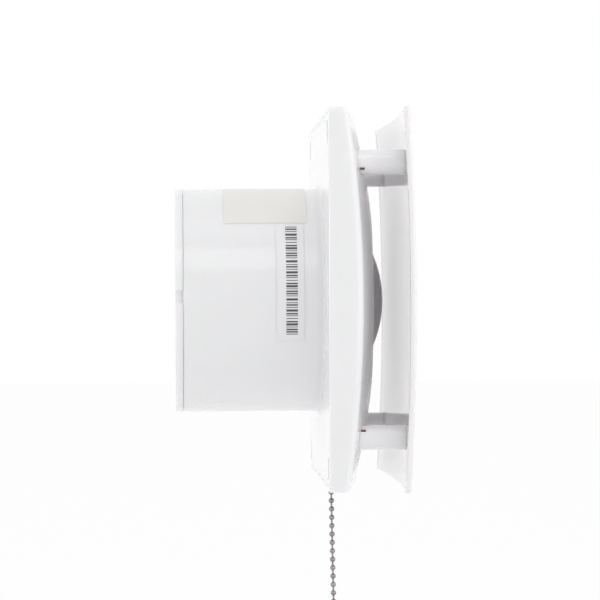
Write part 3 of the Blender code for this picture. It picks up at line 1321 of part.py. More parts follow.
def build():
    clear_scene()
    white = plastic("white_plastic", (0.86, 0.86, 0.87), 0.28)
    panel_white = plastic("panel_white", (0.88, 0.88, 0.89), 0.16)
    steel = plastic("steel", (0.55, 0.55, 0.56), 0.35, 1.0)
    core_steel = plastic("core_steel", (0.30, 0.31, 0.34), 0.5, 1.0)
    alloy = plastic("alloy", (0.70, 0.71, 0.73), 0.4, 1.0)
    copper = plastic("copper", (0.72, 0.34, 0.16), 0.35, 1.0)
    bronze = plastic("bronze", (0.55, 0.38, 0.20), 0.45, 1.0)
    brass = plastic("brass", (0.78, 0.62, 0.30), 0.35, 1.0)
    grey = plastic("grey_plastic", (0.62, 0.62, 0.60), 0.45)
    cream = plastic("cream_plastic", (0.82, 0.78, 0.66), 0.4)
    green = plastic("board_green", (0.05, 0.26, 0.12), 0.45)
    blue = plastic("blue_cover", (0.06, 0.14, 0.42), 0.4)
    brown = plastic("brown_cover", (0.22, 0.10, 0.05), 0.4)
    black = plastic("black_plastic", (0.03, 0.03, 0.03), 0.45)

    base(white)
    front_cover(white)
    inlet_guard(white)
    guard_cap(white)
    front_panel(panel_white)
    for number, (y, z) in enumerate(post_places(), start=1):
        post(number, y, z, white)

    motor_frame(white)
    stator_core(core_steel)
    winding("winding_upper", 1, copper)
    winding("winding_lower", -1, copper)
    front = bearing_bracket("front_bracket", 1, alloy)
    rear = bearing_bracket("rear_bracket", -1, alloy)
    sleeve_bearing("front_bearing", front, bronze)
    sleeve_bearing("rear_bearing", rear, bronze)
    seat = front + BRACKET_PLATE / 2 + GAP
    tip = CUP_BACK + CUP_WALL / 4 + GAP
    for number, side in enumerate((-MOTOR_SCREW_RADIUS, MOTOR_SCREW_RADIUS), start=1):
        screw(f"motor_screw_{number}", side, 0.0, seat, tip, MOTOR_SCREW_DIAMETER,
              MOTOR_SCREW_HEAD, MOTOR_SCREW_HEAD_HEIGHT, steel)
    rotor(alloy)
    impeller(white)
    clip, clip_back = impeller_clip(steel)
    motor_shaft(steel, front, clip_back)

    damper_ring(white)
    damper_axle(steel)
    damper_flap("damper_flap_upper", 1, UPPER_KNUCKLES, white)
    damper_flap("damper_flap_lower", -1, LOWER_KNUCKLES, white)
    damper_spring("damper_spring_upper", 1, steel)
    damper_spring("damper_spring_lower", -1, steel)

    terminal_block(grey)
    for number, (y, z) in enumerate(terminal_places(), start=1):
        terminal_screw(number, y, z, brass)
    cable_clamp(grey)
    clamp_seat = FLOOR + CLAMP_BOSS_HEIGHT + CLAMP_THICKNESS + 2 * GAP
    small = (SMALL_SCREW_DIAMETER, SMALL_SCREW_HEAD, SMALL_SCREW_HEAD_HEIGHT, steel)
    for number, y in enumerate(clamp_screw_ys(), start=1):
        screw(f"clamp_screw_{number}", y, CLAMP_Z, clamp_seat, FLOOR / 2 + GAP, *small)

    control_board(green)
    for number, (y, z) in enumerate(BOARD_SCREWS, start=1):
        screw(f"board_screw_{number}", y, z, BOARD_FRONT + GAP, FLOOR / 2 + GAP, *small)
    on_board("humidity_sensor", (SENSOR_Y, SENSOR_Z), SENSOR_SIZE, cream)
    on_board("board_capacitor", CAPACITOR_PLACE, CAPACITOR_SIZE, brown)
    on_board("board_relay", RELAY_PLACE, RELAY_SIZE, black)
    for number, z in enumerate(TRIMMER_ZS, start=1):
        on_board(f"trimmer_body_{number}", (TRIMMER_Y, z), TRIMMER_SIZE, blue)
        trimmer_knob(number, z, cream)

    switch_body(grey)
    switch_lid(grey)
    slider = switch_slider(cream)
    return_spring(steel)
    chain_guide(white)
    pull_chain(steel, slider.location.copy())
    chain_pull(white, slider.location.copy())
    leads(brown, blue)

    for number, (y, z) in enumerate(COVER_SCREWS, start=1):
        screw(f"cover_screw_{number}", y, z, COVER_SCREW_SEAT + GAP, FLOOR / 2 + GAP,
              COVER_SCREW_DIAMETER, COVER_SCREW_HEAD, COVER_SCREW_HEAD_HEIGHT, steel)


build()
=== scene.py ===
import math

import bmesh
import bpy
from mathutils import Matrix, Vector


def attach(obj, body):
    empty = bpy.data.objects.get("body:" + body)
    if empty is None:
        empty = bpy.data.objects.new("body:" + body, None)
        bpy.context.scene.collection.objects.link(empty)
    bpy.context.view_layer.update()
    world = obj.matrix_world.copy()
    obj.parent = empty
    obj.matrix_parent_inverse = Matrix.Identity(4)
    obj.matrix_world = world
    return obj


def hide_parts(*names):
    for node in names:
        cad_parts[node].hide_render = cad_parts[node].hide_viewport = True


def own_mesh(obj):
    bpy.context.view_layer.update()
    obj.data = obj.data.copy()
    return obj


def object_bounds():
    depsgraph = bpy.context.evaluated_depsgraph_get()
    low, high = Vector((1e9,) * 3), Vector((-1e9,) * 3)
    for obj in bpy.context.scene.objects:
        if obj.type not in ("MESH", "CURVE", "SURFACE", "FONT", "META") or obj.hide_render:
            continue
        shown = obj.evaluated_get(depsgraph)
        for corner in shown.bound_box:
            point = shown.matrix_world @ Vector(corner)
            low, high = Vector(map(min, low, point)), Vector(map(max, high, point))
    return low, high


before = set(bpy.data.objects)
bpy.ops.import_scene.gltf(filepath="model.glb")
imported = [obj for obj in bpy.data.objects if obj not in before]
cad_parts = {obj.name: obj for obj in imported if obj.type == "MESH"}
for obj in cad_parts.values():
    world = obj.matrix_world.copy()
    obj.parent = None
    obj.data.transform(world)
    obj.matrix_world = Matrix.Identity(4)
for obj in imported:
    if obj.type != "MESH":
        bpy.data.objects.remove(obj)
cad_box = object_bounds()
bpy.context.scene.view_settings.view_transform = "Standard"


def in_scene(name, data):
    """A new object in the scene."""
    made = bpy.data.objects.new(name, data)
    bpy.context.scene.collection.objects.link(made)
    return made


# Camera
# Level with the duct's axis and beside the fan, turned a little towards the room.
camera = in_scene("camera", bpy.data.cameras.new("camera"))
bpy.context.scene.camera = camera
camera.location = (-0.0616, -1.170, 0.0)
camera.rotation_euler = (math.radians(90.0), math.radians(0.25), math.radians(-2.6))
camera.data.sensor_width = 36.0
camera.data.lens = 158.2


# Bead chain
# The real chain is hollow nickel-plated balls on short pins, a little forward of plumb. It comes
# out of the switch through the eyelet in the cover's bottom wall, and ends in the bell.
CHAIN_TOP = Vector((0.0050, 0.0, -0.0783))
CHAIN_LENGTH = 0.1250
CHAIN_LEAN = 0.0026
BEAD_RADIUS = 0.00125
BEAD_HOLE = 0.00062
BEAD_DIMPLE = 0.0001
PIN_RADIUS = 0.00042
BEAD_PITCH = 0.00373
FIRST_BEAD = 0.00342            # below the chain's top
BEADS = 33


def settled(mesh):
    """Weld a mesh, turn its faces outward, and keep only its sharp edges sharp."""
    shape = bmesh.new()
    shape.from_mesh(mesh)
    bmesh.ops.remove_doubles(shape, verts=shape.verts, dist=1e-7)
    bmesh.ops.recalc_face_normals(shape, faces=shape.faces)
    shape.to_mesh(mesh)
    shape.free()
    mesh.shade_smooth()
    mesh.set_sharp_from_angle(angle=math.radians(32.0))


def piece_of(name, mesh, finish=None):
    """A clean mesh as an object, with a finish unless it is only a tool."""
    settled(mesh)
    if finish is not None:
        mesh.materials.append(finish)
    return in_scene(name, mesh)


def lofted(name, loops, finish=None, ends="flat"):
    """A solid through closed loops: "flat" ends, where one point closes in a fan, or a "ring"."""
    starts = []
    points = []
    for loop in loops:
        starts.append(len(points))
        points += [tuple(p) for p in loop]
    order = [*range(len(loops)), 0] if ends == "ring" else [*range(len(loops))]
    faces = []
    for a, b in zip(order, order[1:]):
        here, there = len(loops[a]), len(loops[b])
        count = max(here, there)
        for k in range(count):
            after = (k + 1) % count
            corners = (starts[a] + k % here, starts[a] + after % here,
                       starts[b] + after % there, starts[b] + k % there)
            faces.append(tuple(dict.fromkeys(corners)))
    if ends == "flat":
        faces += [tuple(range(starts[i], starts[i] + len(loops[i]))) for i in (0, -1)
                  if len(loops[i]) > 1]
    mesh = bpy.data.meshes.new(name)
    mesh.from_pydata(points, [], faces)
    return piece_of(name, mesh, finish)


def swept(name, path, radii, finish=None, sides=12):
    """A round bar along a path, with one radius, or a list with one for each of its points."""
    path = [Vector(p) for p in path]
    if isinstance(radii, float):
        radii = [radii] * len(path)
    ways = [(b - a).normalized() for a, b in zip(path[:1] + path[:-1], path[1:] + path[-1:])]
    ways[0] = (path[1] - path[0]).normalized()
    side = ways[0].orthogonal().normalized()
    loops = []
    for point, way, radius in zip(path, ways, radii):
        side = (side - way * side.dot(way)).normalized()
        other = way.cross(side)
        loops.append([point + radius * (side * math.cos(a) + other * math.sin(a))
                      for a in (2 * math.pi * k / sides for k in range(sides))])
    return lofted(name, loops, finish)


def placed(piece, node_name, body="housing"):
    """Fix a piece to its body, in place of a CAD node where it has one."""
    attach(piece, body)
    if node_name:
        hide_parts(node_name)


def node_tree_of(name):
    """An empty material and its nodes."""
    material = bpy.data.materials.new(name)
    material.use_nodes = True
    return material, material.node_tree, material.node_tree.nodes["Principled BSDF"]


def effect(name, *labels):
    """An empty node group for a surface, with its named inputs, and what goes into it."""
    tree = bpy.data.node_groups.new(name, "ShaderNodeTree")
    for label in labels:
        kind = "Color" if "Colour" in label else "Float"
        tree.interface.new_socket(label, in_out="INPUT", socket_type="NodeSocket" + kind)
    for label, kind in (("Colour", "Color"), ("Roughness", "Float"), ("Normal", "Vector")):
        tree.interface.new_socket(label, in_out="OUTPUT", socket_type="NodeSocket" + kind)
    return tree, tree.nodes.new("NodeGroupInput").outputs


def node(tree, kind, links=(), **settings):
    """A shader node with its settings, fed by pairs of its socket and a node, socket or constant."""
    made = tree.nodes.new(kind)
    for name, value in settings.items():
        setattr(made, name, value)
    for socket, source in links:
        if isinstance(source, bpy.types.Node):
            source = source.outputs[0]
        if isinstance(source, bpy.types.NodeSocket):
            tree.links.new(source, made.inputs[socket])
        else:
            made.inputs[socket].default_value = source
    return made


def place_of(tree):
    return node(tree, "ShaderNodeTexCoord").outputs["Object"]


def maths(tree, operation, *values):
    return node(tree, "ShaderNodeMath", enumerate(values), operation=operation)


def noise(tree, place, scale, detail=2.0, roughness=0.5):
    return node(tree, "ShaderNodeTexNoise", [("Vector", place), ("Scale", scale), ("Detail", detail),
                                             ("Roughness", roughness)])


def bump(tree, height, strength, distance, *links, **settings):
    return node(tree, "ShaderNodeBump", [("Height", height), ("Strength", strength),
                                         ("Distance", distance), *links], **settings)


COLOUR_A, COLOUR_B, COLOUR_RESULT = 6, 7, 2      # a Mix node's sockets for colours


def worked_metal():
    """Bright metal with fine scratches, a dull bloom and small colour changes."""
    tree, given = effect("worked metal", "Colour", "Dull Colour", "Roughness", "Scratch Scale",
                         "Scratch Depth")
    place = place_of(tree)
    bloom = noise(tree, place, 260.0, 4.0)
    spread = node(tree, "ShaderNodeMapRange", [("Value", bloom), ("From Min", 0.42), ("From Max", 0.72)])
    colour = node(tree, "ShaderNodeMix", [(0, spread), (COLOUR_A, given["Colour"]),
                                          (COLOUR_B, given["Dull Colour"])], data_type="RGBA")
    gloss = maths(tree, "MULTIPLY_ADD", spread, 0.12, given["Roughness"])
    relief = bump(tree, noise(tree, place, given["Scratch Scale"]), 0.6, given["Scratch Depth"])
    node(tree, "NodeGroupOutput", [("Colour", colour.outputs[COLOUR_RESULT]), ("Roughness", gloss),
                                   ("Normal", relief)])
    return tree


WORKED_METAL = worked_metal()


def coated(name, group, values):
    """A material whose colour, roughness and normal come from a shared effect."""
    material, tree, shader = node_tree_of(name)
    finish = node(tree, "ShaderNodeGroup", values, node_tree=group)
    for label, socket in (("Colour", "Base Color"), ("Roughness", "Roughness"), ("Normal", "Normal")):
        tree.links.new(finish.outputs[label], shader.inputs[socket])
    return material, shader


def metal(name, colour, dull, roughness, scale=2600.0, depth=0.00001):
    """A metal of one colour, with the worked finish above."""
    material, shader = coated(name, WORKED_METAL, [
        ("Colour", (*colour, 1.0)), ("Dull Colour", (*dull, 1.0)), ("Roughness", roughness),
        ("Scratch Scale", scale), ("Scratch Depth", depth)])
    shader.inputs["Metallic"].default_value = 1.0
    return material


nickel = metal("nickel plate", (0.62, 0.61, 0.61), (0.50, 0.49, 0.48), 0.13)
bead_steel = metal("bead steel", (0.34, 0.32, 0.32), (0.26, 0.24, 0.24), 0.16)


def chain_point(depth):
    """Where the chain is at a depth below its top."""
    share = depth / CHAIN_LENGTH
    return CHAIN_TOP + Vector((CHAIN_LEAN * share ** 1.3, 0.0, -depth))


hole = math.asin(BEAD_HOLE / BEAD_RADIUS)
ball = [hole + (math.pi - 2 * hole) * step / 8 for step in range(9)]
pin_end = BEAD_RADIUS * math.cos(hole) - BEAD_DIMPLE
chain = []                      # pairs of a depth and a radius
for bead in range(BEADS):
    middle = FIRST_BEAD + BEAD_PITCH * bead
    chain += [(middle - BEAD_PITCH / 2 if bead else 0.0, PIN_RADIUS), (middle - pin_end, PIN_RADIUS)]
    chain += [(middle - BEAD_RADIUS * math.cos(turn), BEAD_RADIUS * math.sin(turn)) for turn in ball]
    chain.append((middle + pin_end, PIN_RADIUS))
chain.append((CHAIN_LENGTH, PIN_RADIUS))
bead_chain = swept("bead_chain", [chain_point(depth) for depth, radius in chain],
                   [radius for depth, radius in chain], bead_steel, sides=20)
placed(bead_chain, "pull_chain", "switch_pull")


# Bell at the chain's end
# A small turned-looking bell, moulded in the same white plastic as the fan and pinched on to the
# last pin of the chain.
BELL_RADIUS = 0.0045
BELL_LENGTH = 0.0180
TO_Z = Matrix.Rotation(-math.pi / 2, 4, "Y")      # turns +X to +Z


def rounded(profile, closed=False):
    """A profile of (along, radius, rounding) points, with each rounding made a short arc."""
    made = []
    count = len(profile)
    for k, (x, r, *rounding) in enumerate(profile):
        if not rounding or (not closed and k in (0, count - 1)):
            made.append((x, r))
            continue
        corner = Vector((x, r))
        before = Vector(profile[k - 1][:2]) - corner
        after = Vector(profile[(k + 1) % count][:2]) - corner
        a = corner + before.normalized() * min(rounding[0], before.length * 0.49)
        b = corner + after.normalized() * min(rounding[0], after.length * 0.49)
        for t in (0.0, 0.2, 0.5, 0.8, 1.0):
            p = a * (1 - t) ** 2 + corner * 2 * t * (1 - t) + b * t * t
            made.append((p.x, p.y))
    return made


def bar(low, high, radius, *rounding):
    """The profile of a plain round bar."""
    return [(low, 0.0), (low, radius, *rounding), (high, radius, *rounding), (high, 0.0)]


def hoop(low, high, side, other_side, *rounding):
    """The profile of a plain ring between two radii."""
    return [(low, side, *rounding), (high, side, *rounding), (high, other_side, *rounding),
            (low, other_side, *rounding)]


def turned(name, profile, finish=None, sides=64, place=None):
    """A solid turned about the X axis, which place then moves; radius 0 closes an end."""
    open_ends = profile[0][1] > 0
    turns = [2 * math.pi * k / sides for k in range(sides)]
    loops = [[(x, r * math.cos(a), r * math.sin(a)) for a in turns] if r else [(x, 0, 0)]
             for x, r in rounded(profile, closed=open_ends)]
    made = lofted(name, loops, finish, ends="ring" if open_ends else "flat")
    if place is not None:
        made.data.transform(place)
    return made


def moulded_plastic():
    """Moulded plastic: a soft grain, a faint drift of shade, and a gloss that is not quite even."""
    tree, given = effect("moulded plastic", "Colour", "Drift", "Roughness", "Grain Scale", "Grain Depth")
    place = place_of(tree)
    shade = maths(tree, "SUBTRACT", noise(tree, place, 24.0, 3.0), 0.5)
    shade = maths(tree, "MULTIPLY_ADD", shade, given["Drift"], 1.0)
    colour = node(tree, "ShaderNodeVectorMath", [(0, given["Colour"]), ("Scale", shade)],
                  operation="SCALE")
    grain = noise(tree, place, given["Grain Scale"], roughness=0.6)
    gloss = maths(tree, "MULTIPLY_ADD", grain, 0.06, given["Roughness"])
    relief = bump(tree, grain, 0.35, given["Grain Depth"])
    node(tree, "NodeGroupOutput", [("Colour", colour), ("Roughness", gloss), ("Normal", relief)])
    return tree


MOULDED_PLASTIC = moulded_plastic()


def plastic(name, colour, roughness, scale=1400.0, depth=0.000012, seep=0.0):
    """A moulded plastic of one colour; seep is the share of light that goes a little way in."""
    material, shader = coated(name, MOULDED_PLASTIC, [
        ("Colour", (*colour, 1.0)), ("Drift", 0.02), ("Roughness", roughness), ("Grain Scale", scale),
        ("Grain Depth", depth)])
    shader.inputs["Subsurface Weight"].default_value = seep
    shader.inputs["Subsurface Radius"].default_value = (1.0, 0.85, 0.95)
    shader.inputs["Subsurface Scale"].default_value = 0.0020
    return material


white_plastic = plastic("white moulding", (0.958, 0.932, 0.958), 0.08, seep=0.6)
bell_top = CHAIN_TOP + Vector((CHAIN_LEAN, 0.0, -CHAIN_LENGTH - 0.0003))
bell = turned("bell_pull", [
    (0.0, 0.0), (0.0, 0.0017, 0.0004), (-0.0016, 0.0021, 0.0003), (-0.0022, 0.0017, 0.0003),
    (-0.0040, 0.0020, 0.0010), (-0.0090, 0.0030, 0.0020), (-0.0140, 0.0042, 0.0010),
    (-0.0165, BELL_RADIUS, 0.0008), (-BELL_LENGTH, BELL_RADIUS * 0.9, 0.0006),
    (-BELL_LENGTH, 0.0031, 0.0003), (-BELL_LENGTH + 0.0012, 0.0026, 0.0004),
    (-BELL_LENGTH + 0.0012, 0.0)], white_plastic, sides=40, place=Matrix.Translation(bell_top) @ TO_Z)
placed(bell, "chain_pull", "switch_pull")


# Floor, backdrop and lamps
# A plain white floor just under the bell, a white world behind, and five soft lamps: a long one and
# a narrow one high above the camera, one on the duct's side, a broad one at the room's side, and
# one overhead.
FLOOR_LEVEL = cad_box[0].z - 0.0015
ROOM_LIGHT = 0.38               # how bright the room is on the camera's side
SWEEP_LIGHT = 0.95              # and the white sweep behind the fan


def white_to_the_eye(tree, shader, amount):
    """Mix a shader with plain white for rays from the camera, from gloss and through glass."""
    rays = node(tree, "ShaderNodeLightPath").outputs
    seen = maths(tree, "MAXIMUM", rays["Is Camera Ray"], rays["Is Glossy Ray"])
    seen = maths(tree, "MAXIMUM", seen, rays["Is Transmission Ray"])
    share = maths(tree, "MULTIPLY", seen, amount)
    kind = "ShaderNodeBackground" if shader.bl_idname == "ShaderNodeBackground" else "ShaderNodeEmission"
    white = node(tree, kind, [("Color", (1.0, 1.0, 1.0, 1.0)), ("Strength", 1.0)])
    return node(tree, "ShaderNodeMixShader", [(0, share), (1, shader), (2, white)])


floor_mesh = bpy.data.meshes.new("studio_floor")
floor_mesh.from_pydata([(-6, -6, FLOOR_LEVEL), (6, -6, FLOOR_LEVEL), (6, 6, FLOOR_LEVEL),
                        (-6, 6, FLOOR_LEVEL)], [], [(0, 1, 2, 3)])
studio_floor = piece_of("studio_floor", floor_mesh)
floor_paint, tree, shader = node_tree_of("floor paint")
tree.nodes.remove(shader)
paint = node(tree, "ShaderNodeBsdfDiffuse", [("Color", (0.89, 0.89, 0.89, 1.0))])
mixed = white_to_the_eye(tree, paint, 0.95)
tree.links.new(mixed.outputs[0], tree.nodes["Material Output"].inputs["Surface"])
floor_mesh.materials.append(floor_paint)

world = bpy.data.worlds.new("studio")
bpy.context.scene.world = world
world.use_nodes = True
tree = world.node_tree
sky = tree.nodes["Background"]
way = node(tree, "ShaderNodeSeparateXYZ", [("Vector", node(tree, "ShaderNodeTexCoord").outputs["Generated"])])
level = node(tree, "ShaderNodeMapRange", [("Value", way.outputs["Y"]), ("From Min", -0.9),
                                          ("From Max", 0.2), ("To Min", ROOM_LIGHT),
                                          ("To Max", SWEEP_LIGHT)], interpolation_type="SMOOTHSTEP")
sky.inputs["Color"].default_value = (0.98, 0.99, 0.995, 1.0)
tree.links.new(level.outputs["Result"], sky.inputs["Strength"])
mixed = white_to_the_eye(tree, sky, 1.0)
tree.links.new(mixed.outputs[0], tree.nodes["World Output"].inputs["Surface"])


def lamp(name, place, towards, size, watts):
    """A soft white rectangular lamp at a place, turned towards a point."""
    light = bpy.data.lights.new(name, "AREA")
    light.shape = "RECTANGLE"
    light.size, light.size_y = size
    light.energy = watts
    made = in_scene(name, light)
    made.location = place
    made.rotation_euler = (Vector(towards) - Vector(place)).to_track_quat("-Z", "Y").to_euler()


lamp("long_lamp", (-0.10, -1.15, 1.05), (-0.05, 0.0, 0.0), (0.34, 0.60), 0.8)
lamp("strip_lamp", (0.22, -1.00, 1.08), (0.03, 0.0, 0.0), (0.40, 0.03), 1.6)
lamp("duct_lamp", (-1.50, -0.35, 0.35), (0.0, 0.0, 0.0), (1.0, 1.2), 3.2)
lamp("side_lamp", (1.20, -1.15, 0.45), (0.0, 0.0, 0.0), (2.0, 1.2), 7.9)
lamp("top_lamp", (0.06, -0.25, 1.50), (0.02, 0.0, 0.0), (0.8, 0.8), 0.7)


# Base
# One white moulding: the duct spigot, the square floor with its low skirt, the studs that the
# posts stand on, and bosses for the screws. The spigot flares a little into the floor.
SPIGOT_RADIUS = 0.04925
DUCT_RADIUS = 0.04745
SPIGOT_END = -0.0603
DUCT_FRONT = 0.0112
FLOOR = 0.0022
SKIRT = 0.0036
BASE_HALF = 0.07796
COVER_HALF = 0.0800
COVER_SCREWS = ((0.0, 0.0640), (0.0640, 0.0040))
BOARD_SCREWS = ((-0.0722, -0.0477), (-0.0722, -0.0073))
CLAMP_SCREWS = ((0.0550, 0.0230), (0.0710, 0.0230))
SCREW_HOLE = 0.0014
POSTS = ((-0.062, 0.058), (0.062, 0.058), (-0.062, -0.058), (0.062, -0.058))


def square_angles(side_steps, corner_steps):
    """Directions round a rounded square, closer together at its corners."""
    reach = math.atan(0.076 / COVER_HALF)
    bend = math.pi / 2 - 2 * reach
    angles = []
    for side in range(4):
        middle = side * math.pi / 2
        angles += [middle + reach * (2 * k / (side_steps - 1) - 1) for k in range(side_steps)]
        angles += [middle + reach + bend * k / (corner_steps + 1)
                   for k in range(1, corner_steps + 1)]
    return angles


DIRECTIONS = square_angles(25, 9)


def square_reach(angle, half, corner):
    """Distance from the middle to a rounded square's side in one direction."""
    folded = abs((angle + math.pi / 4) % (math.pi / 2) - math.pi / 4)
    centre = half - corner
    if half * math.tan(folded) <= centre:
        return half / math.cos(folded)
    spread = math.cos(folded) + math.sin(folded)
    inside = max(0.0, centre ** 2 * (spread ** 2 - 2) + corner ** 2)
    return centre * spread + math.sqrt(inside)


def square_loop(half, corner, height, share=1.0, inner=0.0):
    """A loop between a circle (share 0) and a rounded square (share 1), at a height."""
    loop = []
    for angle in DIRECTIONS:
        radius = inner + (square_reach(angle, half, corner) - inner) * share
        y = radius * math.cos(angle)
        z = radius * math.sin(angle)
        loop.append(Vector((height(y, z) if callable(height) else height, y, z)))
    return loop


def round_loop(x, radius):
    return square_loop(COVER_HALF, 0.004, x, 0.0, radius)


def rod(name, radius, start, end, sides=28):
    """A plain round tool or boss between two points."""
    way = Vector(end) - Vector(start)
    turn = Vector((1, 0, 0)).rotation_difference(way.normalized()).to_matrix().to_4x4()
    return turned(name, bar(0.0, way.length, radius), sides=sides,
                  place=Matrix.Translation(start) @ turn)


def rods(radius, back, front, places, sides=28):
    """Round tools or bosses along X, one at each (y, z) place."""
    return [rod("rod", radius, (back, y, z), (front, y, z), sides) for y, z in places]


def block(name, low, high, finish=None, rounding=0.0, steps=2):
    """A box between two opposite corners, with its edges rounded."""
    low, high = Vector(map(min, low, high)), Vector(map(max, low, high))
    shape = bmesh.new()
    bmesh.ops.create_cube(shape, size=1.0)
    bmesh.ops.scale(shape, vec=high - low, verts=shape.verts)
    bmesh.ops.translate(shape, vec=(low + high) / 2, verts=shape.verts)
    if rounding:
        bmesh.ops.bevel(shape, geom=shape.edges[:], offset=rounding, segments=steps, affect="EDGES",
                        profile=0.5)
    mesh = bpy.data.meshes.new(name)
    shape.to_mesh(mesh)
    shape.free()
    return piece_of(name, mesh, finish)


def at_corners(name, low, high, rounding=0.0):
    """Four like blocks, mirrored to the fan's four corners."""
    return [block(name, (low[0], side * low[1], level * low[2]), (high[0], side * high[1], level * high[2]),
                  rounding=rounding) for side in (-1, 1) for level in (-1, 1)]


def at(y, z):
    return Matrix.Translation((0.0, y, z))


def merged(name, pieces):
    """One object of several separate shapes."""
    shape = bmesh.new()
    for piece in pieces:
        shape.from_mesh(piece.data)
        bpy.data.objects.remove(piece)
    mesh = bpy.data.meshes.new(name)
    shape.to_mesh(mesh)
    shape.free()
    return in_scene(name, mesh)


def carved(piece, tools, way="DIFFERENCE"):
    """Cut a tool, or a list of them as one, from a piece, or join it, at once."""
    tool = merged("tools", tools) if isinstance(tools, list) else tools
    step = piece.modifiers.new("carve", "BOOLEAN")
    step.operation = way
    step.solver = "EXACT"
    step.object = tool
    graph = bpy.context.evaluated_depsgraph_get()
    mesh = bpy.data.meshes.new_from_object(piece.evaluated_get(graph))
    piece.modifiers.clear()
    piece.data = mesh
    bpy.data.objects.remove(tool)
    settled(mesh)
    return piece


def joined(piece, tools):
    return carved(piece, tools, "UNION")


spigot = [(SPIGOT_END, DUCT_RADIUS + 0.0004), (SPIGOT_END, SPIGOT_RADIUS, 0.0003),
          (0.0, SPIGOT_RADIUS, 0.0030), (0.0, SPIGOT_RADIUS + 0.0080)]
base_loops = [round_loop(x, r) for x, r in rounded(spigot)]
base_loops += [square_loop(BASE_HALF - 0.0001, 0.0009, 0.0), square_loop(BASE_HALF, 0.0010, 0.0001),
               square_loop(BASE_HALF, 0.0010, SKIRT - 0.0003),
               square_loop(BASE_HALF - 0.0003, 0.0008, SKIRT),
               square_loop(BASE_HALF - 0.0013, 0.0008, SKIRT),
               square_loop(BASE_HALF - 0.0016, 0.0010, SKIRT - 0.0003),
               square_loop(BASE_HALF - 0.0016, 0.0010, FLOOR)]
duct = [(FLOOR, SPIGOT_RADIUS + 0.0080), (FLOOR, SPIGOT_RADIUS, 0.0006),
        (DUCT_FRONT, SPIGOT_RADIUS, 0.0003), (DUCT_FRONT, DUCT_RADIUS, 0.0003),
        (SPIGOT_END, DUCT_RADIUS)]
base_loops += [round_loop(x, r) for x, r in rounded(duct)]
base_moulding = lofted("base_moulding", base_loops, white_plastic, ends="ring")
root = FLOOR / 2
# Studs for the posts and bosses for the screws: their radius, their top and their places.
BOSSES = ((0.0026, 0.0080, POSTS), (0.0034, 0.0100, COVER_SCREWS), (0.0025, 0.0034, BOARD_SCREWS),
          (0.0025, 0.0052, CLAMP_SCREWS))
joined(base_moulding, [boss for radius, high, places in BOSSES for boss in rods(radius, root, high, places)])
holes = rods(0.0017, root, 0.02, COVER_SCREWS) + rods(SCREW_HOLE, root, 0.02, BOARD_SCREWS + CLAMP_SCREWS)
holes.append(block("window", (-0.0022, 0.05355, 0.0300), (0.0044, 0.0715, 0.0460), rounding=0.0009))
holes.append(block("stem_notch", (0.0025, -0.0018, -0.0792), (0.0072, 0.0018, -0.0744)))
holes += at_corners("keyhole", (-0.0022, 0.0685, 0.0660), (0.0044, 0.0725, 0.0750), 0.0009)
holes += at_corners("latch_groove", (-0.0005, 0.0752, 0.0590), (0.0006, 0.0760, 0.0750))
holes += at_corners("latch_mark", (-0.0005, 0.0560, 0.0752), (0.0006, 0.0600, 0.0762))
carved(base_moulding, holes)
placed(base_moulding, "base")


# Stickers on the spigot
# Two paper stickers wrapped on the spigot: a broad cream one over the top, left bare, and a tall
# narrow one on the camera's side with a column of plain dark bars.
STICKER_LIFT = 0.00005
STICKER_THICKNESS = 0.00007


def wrapped(name, low_x, high_x, low_turn, high_turn, finish, lift=STICKER_LIFT, steps=48):
    """A thin sheet round the spigot; turns are from straight up towards -Y, in radians."""
    loops = []
    for k in range(steps + 1):
        turn = low_turn + (high_turn - low_turn) * k / steps
        way = Vector((0.0, -math.sin(turn), math.cos(turn)))
        near = SPIGOT_RADIUS + lift
        far = near + STICKER_THICKNESS
        loops.append([Vector((low_x, 0, 0)) + way * near, Vector((high_x, 0, 0)) + way * near,
                      Vector((high_x, 0, 0)) + way * far, Vector((low_x, 0, 0)) + way * far])
    return lofted(name, loops, finish)


def height_turn(z):
    """The turn at which the spigot's camera side is at a height."""
    return math.acos(z / SPIGOT_RADIUS)


cream_paper = plastic("cream paper", (0.88, 0.865, 0.83), 0.42, scale=5200.0, depth=0.00001)
type_sticker = wrapped("type_sticker", -0.0426, -0.0069, -0.62, math.radians(47.7), cream_paper)
white_paper = plastic("white paper", (0.91, 0.90, 0.905), 0.36, scale=5200.0, depth=0.00001)
bar_sticker = wrapped("bar_sticker", -0.0205, -0.00875, height_turn(0.0322), height_turn(-0.0174),
                      white_paper)
ink = plastic("grey ink", (0.09, 0.085, 0.10), 0.45)
BAR_WIDTHS = (0.3, 0.6, 0.3, 0.9, 0.6, 0.3, 0.3, 0.6, 0.9, 0.3, 0.6, 0.6, 0.3, 0.9)
BAR_GAPS = (0.5, 0.9, 0.4, 0.6, 0.9, 0.5, 0.7, 0.4, 0.9, 0.6, 0.5, 0.8, 0.4, 0.6)
BARS_TOP = 0.0314
BARS_BOTTOM = -0.0145
bars = []
level = BARS_TOP
count = 0
while level > BARS_BOTTOM:
    width = BAR_WIDTHS[count % len(BAR_WIDTHS)] * 0.001
    bars.append(wrapped("bar", -0.0165, -0.0116, height_turn(level), height_turn(level - width), None,
                        lift=STICKER_LIFT + STICKER_THICKNESS, steps=4))
    level -= width + BAR_GAPS[(count * 3) % len(BAR_GAPS)] * 0.001
    count += 1
bar_column = merged("bar_column", bars)
settled(bar_column.data)
bar_column.data.materials.append(ink)
for sticker in (type_sticker, bar_sticker, bar_column):
    placed(sticker, None)


